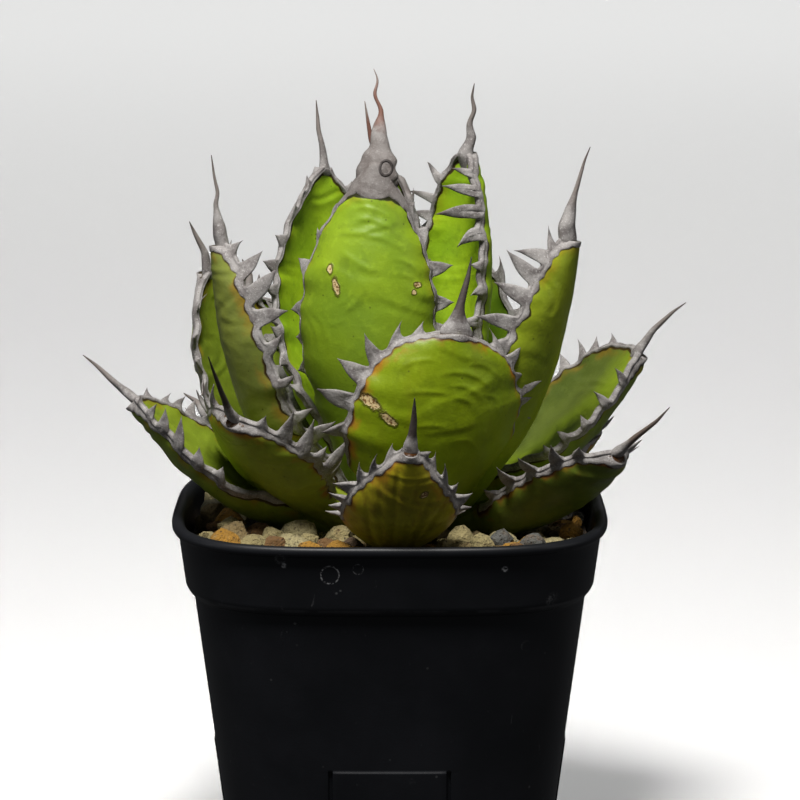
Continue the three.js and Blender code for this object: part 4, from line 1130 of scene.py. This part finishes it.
# %% Horn finishes
RING_SCAR = {"across": -0.9, "height": 174.94, "radius": 1.45, "squash": 0.85}
HORNS = {
    # middle of the spine, its end, share of the spine where it has turned
    "grey": ((0.17, 0.145, 0.13), (0.085, 0.065, 0.055), 0.6),
    "red": ((0.14, 0.06, 0.04), (0.20, 0.16, 0.14), 0.55),
    "dark": ((0.045, 0.033, 0.028), (0.022, 0.018, 0.016), 0.3),
    "brown": ((0.11, 0.08, 0.065), (0.15, 0.12, 0.105), 0.35),
}


def horn_finish(name):
    """Grainy grey that turns to the spine's colours by the carried shares."""
    middle, end, turn = HORNS[name]
    f = Finish(f"horn_{name}", Roughness=0.72)
    point, draw, away = f.carried("point"), f.carried("draw"), f.carried("spine")
    grain = f.noise(0.45, 3, 0.65)
    cloud = f.noise(3.2, 3, 0.6)
    colour = f.mix((0.25, 0.235, 0.225), (0.135, 0.12, 0.115), cloud.step(0.40, 0.66))
    colour = f.mix(colour, (0.55, 0.53, 0.52), grain.step(0.54, 0.74) * 0.6)
    colour = f.mix(colour, (0.09, 0.075, 0.07), point.step(0.55, 1.0) * 0.5)
    dirt = f.cells(0.9).step(0.22, 0.08) * f.noise(4, 2).step(0.48, 0.62)
    colour = f.mix(colour, (0.10, 0.075, 0.06), dirt * 0.7)
    thin = draw.step(0.9, 0.95)
    reddish = point.step(0.6, 1.0) * draw.step(0.6, 0.8)
    colour = f.mix(colour, (0.10, 0.055, 0.04), reddish * 0.8)
    colour = f.mix(colour, (0.05, 0.04, 0.035), point.step(0.25, 0.7) * thin * 0.7)
    wander = away + (cloud - 0.5) * 0.25
    colour = f.mix(colour, middle, wander.step(turn * 0.5, turn))
    colour = f.mix(colour, end, wander.step(0.7, 0.95))
    streak = f.noise(1.1, 3, 0.6, 0.3, f.place((1, 1, 0.3)))
    height = grain * 0.6 + streak * 0.7 + f.noise(1.6, 2) * 0.8
    if name == "red":
        x, _, z = f.axes()
        foot = z.step(163, 168) * (1 - away.step(0.2, 0.4))
        colour = f.mix(colour, (0.10, 0.082, 0.073), foot * (cloud * 0.5 + 0.35))
        flat = (z - RING_SCAR["height"]) * RING_SCAR["squash"]
        far = ((x - RING_SCAR["across"]) ** 2 + flat ** 2) ** 0.5
        ring = abs(far - RING_SCAR["radius"]).step(0.4, 0.12) * foot
        colour = f.mix(colour, (0.02, 0.014, 0.012), ring * 0.85)
        height = height + ring * 2
    f.bump(height, 0.22, 0.8)
    return f.done(Base_Color=colour, Roughness=f.noise(1.5, 2) * 0.2 + 0.6)


horns = {name: horn_finish(name) for name in HORNS}
print("horn finishes:", ", ".join(horns))

# %% [markdown]
# ## All the leaves
# One loop makes the whole rosette. Each leaf becomes two pieces, a blade and a margin, and each piece
# stands for the solid of the same number. The margin joins both edge strips, both tongues of the cap
# and the end spine in one mesh, because they are one growth of horn.

# %% Make the leaves
for leaf in LEAVES:
    number = f"{leaf['number']:02d}"
    piece(f"blade_{number}", blade(leaf), skins[leaf["skin"]], "leaf", f"leaf_{number}")
    margin = joined([strip(leaf, 1), strip(leaf, -1), cap(leaf, 1), cap(leaf, -1), spine(leaf)])
    piece(f"margin_{number}", margin, horns[leaf["horn"]], "margin", f"leaf_{number}_margin")
print("leaf pieces:", 2 * len(LEAVES))

# %% [markdown]
# ## The plan of the pot
# The pot is a thin moulded shell. Its plan is a rounded square, the curve where the powers of x and y
# add up to one. Each side has a raised panel at the foot between two grooves. Each ring has extra
# points at their steps, so that the steps stay sharp.

# %% Plan of the pot
PLAN_EXPONENT = 3.58
RIM_HALF_WIDTH = 52.5
COLLAR_BOTTOM = 76
WALL_SET_IN, WALL_TAPER, WALL_THICKNESS = 4.8, 0.128, 1.6
PANEL_HALF, PANEL_TOP, PANEL_PROUD = 13.35, 36.0, 0.4
GROOVE_IN, GROOVE_OUT, GROOVE_DEPTH = 13.5, 14.45, 0.9
EASE = 0.15


def wall_at(z):
    """Half width of the outer wall below the collar."""
    return RIM_HALF_WIDTH - WALL_SET_IN - (COLLAR_BOTTOM - np.asarray(z, float)) * WALL_TAPER


def plan_ring(half, z, stamp=0.0):
    """A ring of the rounded square, with the panel and grooves stamped into all four sides."""
    steps = [middle + d for middle in (PANEL_HALF, GROOVE_OUT) for d in (-EASE, 0, EASE)]
    fixed = np.array([0, 3, 6, 9, 12, *steps, 17, 20])
    corner = half * 2 ** (-1 / PLAN_EXPONENT)
    ease = np.sin(np.linspace(0, np.pi / 2, 22)[1:])
    right = np.concatenate([fixed, 20 + (corner - 20) * ease])
    x = np.concatenate([-right[:0:-1], right])[:-1]
    out = (half**PLAN_EXPONENT - np.abs(x) ** PLAN_EXPONENT) ** (1 / PLAN_EXPONENT)
    far = np.abs(x)
    panel = 1 - smooth(PANEL_HALF - EASE, PANEL_HALF + EASE, far)
    groove = smooth(GROOVE_IN - 0.1, GROOVE_IN + 0.1, far)
    groove = groove * (1 - smooth(GROOVE_OUT - 0.25, GROOVE_OUT + 0.05, far))
    out = out + stamp * (panel * PANEL_PROUD - groove * GROOVE_DEPTH)
    turns = [(1, 0), (0, 1), (-1, 0), (0, -1)]
    return np.concatenate(
        [np.stack([c * x + d * out, d * x - c * out, 0 * x + z], -1) for c, d in turns])


print("the wall at the foot and under the collar:", wall_at([0, COLLAR_BOTTOM]).round(1), "mm")

# %% [markdown]
# ## The pot's profile
# The wall tapers under a deep collar with a rolled lip. One profile goes up the outside, over the lip
# and down the inside. The pot is closed at the foot by its floor, which nobody sees under the mix.

# %% Pot body
def pot():
    """Rings up the outer profile, over the lip and down the inner one to the floor."""
    lower = [0, 0.35, 1, 3, 8, 16, 24, 32, 34.4, PANEL_TOP - 0.5, PANEL_TOP - 0.2, PANEL_TOP,
             PANEL_TOP + 0.5, 42, 52, 62, 70, 73.6]
    halves = [(wall_at(z) - (0.6 if z == 0 else 0.2 if z < 1 else 0), z) for z in lower]
    step = [(wall_at(74.2) + 0.05, 74.3), (wall_at(74.6) + 0.3, 74.75),
            (wall_at(75) + 0.6, 75.0), (wall_at(75) + 0.9, 75.2), (49.0, 75.9), (49.4, 76.7),
            (49.5, 77.4)]
    collar = [(49.5 + 1.5 * k, 77.4 + 11.6 * k) for k in np.linspace(0.1, 0.98, 7)]
    lip = [(51.25, 89.35), (51.7, 89.6), (52.2, 89.85), (52.45, 90.3), (52.5, 90.9), (52.4, 91.4),
           (52.1, 91.8), (51.6, 92.0), (51.0, 92.0), (50.4, 91.85), (50.0, 91.5), (49.6, 91.0)]
    inner = [(49.3, 89), (48.6, 84), (47.9, 77.8), (47.3, 76.2), (wall_at(75.4) - 0.9, 75.4),
             *((wall_at(z) - WALL_THICKNESS, z) for z in (60, 30, 2))]
    stamped = [plan_ring(half, z, 1 - smooth(PANEL_TOP - 0.2, PANEL_TOP, z)) for half, z in halves]
    plain = [plan_ring(half, z) for half, z in step + collar + lip + inner]
    return shell(np.stack(stamped + plain))


pot_body = pot()
print("points of the pot:", len(pot_body[0]))

# %% [markdown]
# ## Pot plastic
# The plastic is nearly black and softly matt, with a little dust. Dried drops have left rings and dots
# on the front, listed by place and size. A ring is the line where the distance from its middle comes
# near its radius, broken up by a fine grain.

# %% Pot finish
WATER_MARKS = [
    # across and height of the middle, radius of the ring, width of its line, lightness
    (-13.7, 85.3, 2.1, 0.24, 0.65), (-7.2, 86.7, 1.2, 0.2, 0.3), (-24.3, 87.4, 0.2, 0.6, 0.8),
    (26.6, 86.4, 0.2, 0.7, 1.0), (-25.2, 89.0, 1.0, 0.5, 0.15), (32.0, 66.6, 1.2, 0.3, 0.25),
    (-18.8, 29.8, 0.3, 0.7, 1.0), (-7.5, 32.9, 0.1, 0.4, 0.7), (5.1, 33.7, 0.4, 0.7, 0.3),
    (38.5, 77.6, 0.8, 1.6, 0.4), (36.0, 74.6, 0.6, 0.9, 0.25), (-31.0, 58.0, 0.1, 0.4, 0.3),
]


def pot_finish():
    """Near-black plastic, softly matt, with dust, water marks and light scuffs."""
    f = Finish("pot_plastic", Roughness=0.45, Specular_IOR_Level=0.28)
    cloud = f.noise(26, 4, 0.6)
    grain = f.noise(0.5, 3, 0.6)
    colour = f.mix((0.004, 0.0045, 0.006), (0.007, 0.0075, 0.010), cloud.step(0.35, 0.75))
    dust = f.cells(4.5).step(0.09, 0.04) * f.noise(13, 2).step(0.55, 0.68)
    colour = f.mix(colour, (0.16, 0.16, 0.16), dust * 0.45)
    scuff = f.noise(1.6, 3, 0.7, 0.8, f.place((1, 1, 0.35))).step(0.66, 0.74)
    scuff = scuff * f.noise(20, 2).step(0.55, 0.7)
    colour = f.mix(colour, (0.08, 0.08, 0.085), scuff * 0.5)
    x, y, z = f.axes()
    front = y.step(-42, -46)
    speckle = grain.step(0.4, 0.6)
    for at_x, at_z, radius, width, light in WATER_MARKS:
        far = ((x - at_x) ** 2 + (z - at_z) ** 2) ** 0.5
        mark = abs(far - radius).step(width, 0.3 * width) * front
        colour = f.mix(colour, (0.30, 0.30, 0.31), mark * speckle * light)
    worn = abs(z - (COLLAR_BOTTOM + 0.2)).step(0.5, 0.15) * f.noise(6, 2).step(0.3, 0.7)
    colour = f.mix(colour, (0.05, 0.05, 0.055), worn * 0.5)
    f.bump(grain * 0.5 + f.noise(9, 2) * 0.8, 0.12, 0.35)
    return f.done(Base_Color=colour, Roughness=cloud * 0.22 + 0.36 + scuff * 0.2)


pot_shell = piece("pot_shell", pot_body, pot_finish(), "pot", "pot")
print("faces of the pot:", len(pot_shell.data.polygons), "marks:", len(WATER_MARKS))

# %% [markdown]
# ## Stem and potting mix
# The stem is a short turned body under the leaves, and the mix fills the pot below the gravel. Little
# of them shows, so a turned profile with a rough finish is enough for the stem, and the mix keeps
# its solid and gets a finish alone.

# %% Stem and mix
def stem():
    """A profile of radius and height, turned about the upright axis."""
    heights = np.array([66, 70, 84, 87.5, 91, 93.2, 95.2, 96.6, 97.3])
    radii = np.array([10, 13, 14, 16, 18.8, 17.6, 14.3, 9.8, 3.8])
    marks = np.arange(len(heights))
    between = np.linspace(0, marks[-1], 4 * marks[-1] + 1)
    z, radius = np.interp(between, marks, heights), np.interp(between, marks, radii)
    a = np.arange(48) * 2 * np.pi / 48
    where = np.stack([np.cos(a)[None, :] * radius[:, None], np.sin(a)[None, :] * radius[:, None],
                      z[:, None] + 0 * a], -1)
    rough = (1 - 0.02 * (1 + swell(where, 5, 4)))[..., None]
    return shell(np.concatenate([where[..., :2] * rough, where[..., 2:]], -1))


def rough_finish(name, first, second, size):
    """Two dull colours in crumbs of one size."""
    f = Finish(name, Roughness=0.9)
    crumbs = f.noise(size, 4, 0.7)
    f.bump(crumbs, size * 0.5, 0.9)
    return f.done(Base_Color=f.mix(first, second, crumbs.step(0.35, 0.65)))


piece("stem_body", stem(), rough_finish("stem_skin", (0.20, 0.22, 0.10), (0.12, 0.11, 0.06), 1.5),
      "stem", "stem")
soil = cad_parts["soil"].data
soil.materials.clear()
soil.materials.append(rough_finish("potting_mix", (0.012, 0.009, 0.007), (0.045, 0.03, 0.02), 1.2))
print("the mix keeps its solid of", len(soil.polygons), "faces")

# %% [markdown]
# ## A ball for the stones
# The mix is dressed with crushed pumice. A stone starts as a ball of only eighty faces, because there
# are hundreds of them. The ball is worked out from the twelve corners of the body with twenty sides.

# %% Ball
def ball():
    """A twenty-sided ball with every face split in four: 42 points and 80 faces."""
    g = (1 + 5**0.5) / 2
    corners = np.array([(-1, g, 0), (1, g, 0), (-1, -g, 0), (1, -g, 0), (0, -1, g), (0, 1, g),
                        (0, -1, -g), (0, 1, -g), (g, 0, -1), (g, 0, 1), (-g, 0, -1), (-g, 0, 1)])
    near = np.linalg.norm(corners[:, None] - corners, axis=-1)
    touch = (near > 1) & (near < 2.1)
    a, b, c = np.meshgrid(*[np.arange(12)] * 3, indexing="ij")
    pick = touch[a, b] & touch[b, c] & touch[a, c] & (a < b) & (b < c)
    faces = np.stack([a[pick], b[pick], c[pick]], -1)
    p = [corners[faces[:, i]] for i in range(3)]
    middles = [(p[i] + p[(i + 1) % 3]) / 2 for i in range(3)]
    quarters = [np.stack([p[i], middles[i], middles[(i + 2) % 3]], 1) for i in range(3)]
    soup = unit(np.concatenate([*quarters, np.stack(middles, 1)]).reshape(-1, 3))
    points, index = np.unique(soup.round(6), axis=0, return_inverse=True)
    faces = index.reshape(-1, 3)
    inward = np.einsum("ij,ij->i", points[faces[:, 0]],
                       np.cross(points[faces[:, 1]], points[faces[:, 2]])) < 0
    faces[inward] = faces[inward][:, ::-1]
    return points, faces


print("points and faces of the ball:", [len(part) for part in ball()])

# %% [markdown]
# ## Places for the stones
# A physics run could drop the stones, but it would come out differently with every small change. Here
# they stand on two jittered nets, coarse stones over fine ones, inside the pot's wall and clear of the
# stem. Each is lowered in small steps until it clears the leaves, and one that still can't is left
# out. A small heap lies in the left corner at the back.

# %% Places for the stones
BED_TOP = 85.4
STEM_CLEAR = 16.6
LIP_INSIDE, LIP_FOOT, WALL_GAP = 49.5, 90.8, 0.3
JITTER = 0.28
LOWERINGS, LOWERING = 22, 0.35
HEAP_X, HEAP_Y, HEAP_WIDTH, HEAP_HEIGHT = -42, 28, 18, 1.8
NETS = [
    # spacing, smallest and largest radius, lift over the bed
    (7.0, (2.7, 4.2), 2.2),
    (5.6, (1.6, 2.9), 1.0),
]


def leaf_undersides():
    """Points over the outer faces and edges of all the leaves, for keeping stones off them."""
    s = np.linspace(0, 1, 30)[:, None]
    t = np.linspace(-1, 1, 13)[None, :]
    return np.concatenate([face_point(leaf, s, t, -1).reshape(-1, 3) for leaf in LEAVES])


def inside_wall(z):
    """Half width inside the collar: it narrows by 1.6 on the 12.6 below the lip, less a small gap."""
    return LIP_INSIDE - (LIP_FOOT - z) * 1.6 / 12.6 - WALL_GAP


def room_around(rows, under):
    """Distance from the middle of each stone to the nearest point of a leaf."""
    return np.linalg.norm(rows[:, None, :3] - under, axis=-1).min(1)


def stone_places(random):
    """Stones on two jittered nets, a coarse and a fine one, lowered until they clear the leaves."""
    under = leaf_undersides()
    places = []
    for spacing, size, lift in NETS:
        reach = int(52 / spacing) + 1
        i, j = np.meshgrid(np.arange(-reach, reach + 1), np.arange(-reach, reach + 1))
        jitter = random.uniform(-JITTER, JITTER, (2, *i.shape))
        x = (i + (j % 2) / 2 + jitter[0]) * spacing
        y = (j * 0.87 + jitter[1]) * spacing
        radius = random.uniform(*size, i.shape)
        far = ((x - HEAP_X) ** 2 + (y - HEAP_Y) ** 2) / HEAP_WIDTH**2
        heap = HEAP_HEIGHT * np.exp(-far)
        z = BED_TOP + lift + random.uniform(-0.6, 1.6, i.shape) + heap
        rows = np.stack([x, y, z, radius], -1).reshape(-1, 4)
        plan = (np.abs(rows[:, :2]) ** PLAN_EXPONENT).sum(-1) ** (1 / PLAN_EXPONENT)
        fits = plan < inside_wall(rows[:, 2]) - rows[:, 3] * 1.08
        fits &= np.hypot(rows[:, 0], rows[:, 1]) > STEM_CLEAR + rows[:, 3]
        rows = rows[fits]
        for _ in range(LOWERINGS):
            close = room_around(rows, under) < rows[:, 3] * 1.12 + 0.3
            rows[:, 2] -= np.where(close, LOWERING, 0)
        clear = room_around(rows, under) > rows[:, 3] * 1.05
        places.append(rows[clear & (rows[:, 2] > BED_TOP - 2.5)])
    return np.concatenate(places)


random = np.random.default_rng(20)
places = stone_places(random)
print("stones:", len(places))

# %% [markdown]
# ## Stones
# Each ball is stretched, cut by a few random planes, roughened, tilted and set in its place. All the
# stones are worked out together as one array, and each carries a random number that later picks its
# colour.

# %% Stones
STRETCH, FLATNESS = (0.72, 1.25), (1.08, 1.0, 0.88)
CUTS, CUT_HEIGHTS = 6, (0.62, 0.95)
LUMPS, TILT = 0.13, 0.6


def stones(rows, random):
    """Balls with random stretch, flat cuts and lumps, turned and set in their places."""
    count = len(rows)
    points, faces = ball()
    body = np.repeat(points[None], count, 0)
    body = body * random.uniform(*STRETCH, (count, 1, 3)) * np.array(FLATNESS)
    aims = unit(random.normal(size=(count, CUTS, 3)))
    for k in range(CUTS):
        aim = aims[:, k][:, None, :]
        height = random.uniform(*CUT_HEIGHTS, (count, 1, 1))
        over = (body * aim).sum(-1, keepdims=True) - height
        body = body - np.maximum(0, over) * aim * 0.85
    body = body * (1 + random.uniform(-LUMPS, LUMPS, (count, len(points), 1)))
    a, tilt = random.uniform(0, 2 * np.pi, count), random.uniform(-TILT, TILT, count)
    c, d, e, g = np.cos(a), np.sin(a), np.cos(tilt), np.sin(tilt)
    o = np.zeros(count)
    turn = np.stack([np.stack([c, -d * e, d * g], -1), np.stack([d, c * e, -c * g], -1),
                     np.stack([o, g, e], -1)], 1)
    body = np.einsum("nij,nkj->nki", turn, body) * rows[:, None, 3:] + rows[:, None, :3]
    all_faces = (faces[None] + (np.arange(count) * len(points))[:, None, None]).reshape(-1, 3)
    draw = np.repeat(random.uniform(size=count), len(points))
    return body.reshape(-1, 3), all_faces, {"draw": draw}


stone_body = stones(places, random)
print("faces of all the stones:", len(stone_body[1]))

# %% [markdown]
# ## Pumice
# The stones are cream, tan, orange, brown and grey. A stepped colour ramp turns the carried number into
# one of eight tones, and patches, pores darkened by painted shade and stains break it up. The stones
# are shaded flat, because their faces are broken ones.

# %% Stone finish
def stone_finish():
    """A colour for each stone from its random number, under dirt and painted shade in its pores."""
    f = Finish("pumice", Roughness=0.88)
    draw = f.carried("draw")
    stops = [(0.0, (0.33, 0.27, 0.12)), (0.24, (0.40, 0.34, 0.17)), (0.42, (0.24, 0.17, 0.07)),
             (0.54, (0.38, 0.19, 0.02)), (0.66, (0.17, 0.085, 0.025)), (0.76, (0.085, 0.052, 0.026)),
             (0.86, (0.11, 0.11, 0.10)), (0.94, (0.28, 0.25, 0.16))]
    base = f.node("ShaderNodeValToRGB", {"stops": stops}, {0: draw})
    patch = f.noise(2.2, 4, 0.65)
    colour = f.mix(base, (0.46, 0.41, 0.24), patch.step(0.55, 0.75) * 0.3)
    colour = f.mix(colour, (0.07, 0.055, 0.035), f.noise(1.2, 3, 0.7).step(0.55, 0.7) * 0.55)
    pores = f.cells(1.1).step(0.3, 0.12) * f.noise(2.5, 2).step(0.4, 0.6)
    # Painted shade: the pores are dented by the bump below, and their shade is painted in as a dark
    # colour.
    colour = f.mix(colour, (0.06, 0.04, 0.025), pores * 0.65)
    stain = f.noise(5, 3).step(0.6, 0.75)
    colour = f.mix(colour, (0.30, 0.15, 0.05), stain * 0.35)
    f.bump(f.noise(0.8, 4, 0.75) * 1.5 + f.noise(2.0, 2) * 1.6 - pores * 0.7, 0.9, 1.0)
    return f.done(Base_Color=colour)


gravel = piece("gravel_stones", stone_body, stone_finish(), "gravel", "gravel")
gravel.data.shade_flat()
print("faces of the gravel:", len(gravel.data.polygons))

# %% [markdown]
# ## Bed of grit
# Between the stones one looks down on dark grit. A low flat body closes the view: its rings run from a
# round hole for the stem out to the rounded square of the wall, and back underneath, so that the body
# is a closed loop of rings without ends.

# %% Bed of grit
BED_FOOT = 78.4
BED_HOLE = 14.6
BED_POINTS = 96


def bed():
    """Rings that turn from a circle into the pot's rounded square, joined last to first."""
    angle = np.linspace(0, 2 * np.pi, BED_POINTS, endpoint=False)
    plan = np.stack([np.cos(angle), np.sin(angle)], -1)
    square = plan / (np.abs(plan) ** PLAN_EXPONENT).sum(-1, keepdims=True) ** (1 / PLAN_EXPONENT)
    hole = plan * BED_HOLE
    top = BED_TOP - 1.0
    edge_top, edge_foot = (square * (inside_wall(z) - 0.2) for z in (top, BED_FOOT))
    across = [(hole * (1 - k) + edge_top * k, top) for k in np.linspace(0.15, 1, 8)]
    rings = [(hole, BED_FOOT), (hole, top), *across, (edge_foot, BED_FOOT)]
    points = np.concatenate([np.column_stack([ring, np.full(BED_POINTS, z)]) for ring, z in rings])
    faces = wall_faces(len(rings), BED_POINTS, endless=True)
    return points, outwards(points, faces), {}


grit = bed()
piece("gravel_bed", grit, rough_finish("bed_grit", (0.02, 0.014, 0.01), (0.09, 0.06, 0.035), 1.3),
      "gravel", "gravel")
print("faces of the bed:", len(grit[1]))

# %% [markdown]
# ## Floor
# A plain pale floor runs far behind the pot, so that no horizon shows. It is hidden from bounced
# light, because a white glow from below would fill the dark hollows between the leaves.

# %% Floor
SIDE, FRONT, BACK = 9, -4, 14

floor_mesh = bpy.data.meshes.new("floor")
corners = [(-SIDE, FRONT, 0), (SIDE, FRONT, 0), (SIDE, BACK, 0), (-SIDE, BACK, 0)]
floor_mesh.from_pydata(corners, [], [(0, 1, 2, 3)])
floor = put("floor", floor_mesh)
paper = Finish("pale_floor", Roughness=0.9)
floor_mesh.materials.append(paper.done(Base_Color=(0.36, 0.36, 0.357)))
floor.visible_diffuse = False
floor.visible_glossy = False
print("floor:", 2 * SIDE, "m wide and", BACK - FRONT, "m deep")

# %% [markdown]
# ## Light
# One soft lamp hangs above and in front, as over a plant bench. Weak lamps at both sides and behind
# lift the shadows and draw the edges of the leaves. A wide lamp lights the floor alone, by light
# linking, so that the background stays pale without a second light on the plant.

# %% Lights
def softbox(name, place, target, size, power, colour=(1.0, 1.0, 1.0), spread=180.0):
    """A square area light that faces a target."""
    data = bpy.data.lights.new(name, "AREA")
    data.shape = "SQUARE"
    data.size, data.energy, data.color = size, power, colour
    data.spread = spread * DEGREE
    lamp = put(name, data)
    lamp.location = place
    aim = unit(np.array(target) - np.array(place))
    lamp.rotation_euler = (np.arccos(-aim[2]), 0, np.arctan2(aim[1], aim[0]) - np.pi / 2)
    return lamp


softbox("key_light", (-0.08, -0.29, 0.73), (0, 0, 0.13), 0.2, 8.6, (1.0, 0.985, 0.96))
softbox("left_fill", (-0.9, -0.25, 0.35), (0, 0, 0.12), 0.5, 1.0, (0.95, 0.98, 1.0))
softbox("right_fill", (0.9, -0.3, 0.4), (0, 0, 0.12), 0.5, 1.0)
softbox("back_light", (0.3, 1.0, 1.2), (0, 0, 0.12), 0.5, 2.0)
overhead = softbox("floor_light", (0, 3.6, 3.6), (0, 3.61, 0), 6.0, 240.0, spread=90.0)
overhead.light_linking.receiver_collection = bpy.data.collections.new("floor_alone")
overhead.light_linking.receiver_collection.objects.link(floor)
world = bpy.data.worlds.new("studio")
world.use_nodes = True
sky = world.node_tree.nodes["Background"].inputs
sky["Color"].default_value = (0.9, 0.92, 0.95, 1)
sky["Strength"].default_value = 0.07
bpy.context.scene.world = world
bpy.context.scene.view_settings.view_transform = "Standard"

# %% [markdown]
# ## Camera
# The camera stands 80 cm in front and looks down by ten degrees. Its focal length is given in picture
# widths, so that the pot's rim fills a little over half of the picture.

# %% Camera
SENSOR_WIDTH = 36.0
FOCAL_LENGTH_IN_WIDTHS = 3338.0 / 800
CAMERA_PLACE = (2.44, -800, 258.4)
LOOKS_DOWN_BY = 10

camera_data = bpy.data.cameras.new("camera")
camera_data.sensor_width = SENSOR_WIDTH
camera_data.lens = FOCAL_LENGTH_IN_WIDTHS * SENSOR_WIDTH
camera = put("camera", camera_data)
camera.location = [v * MM for v in CAMERA_PLACE]
camera.rotation_euler = ((90 - LOOKS_DOWN_BY) * DEGREE, 0, 0)
bpy.context.scene.camera = camera
print("lens:", round(camera_data.lens, 1), "mm")

# %% [markdown]
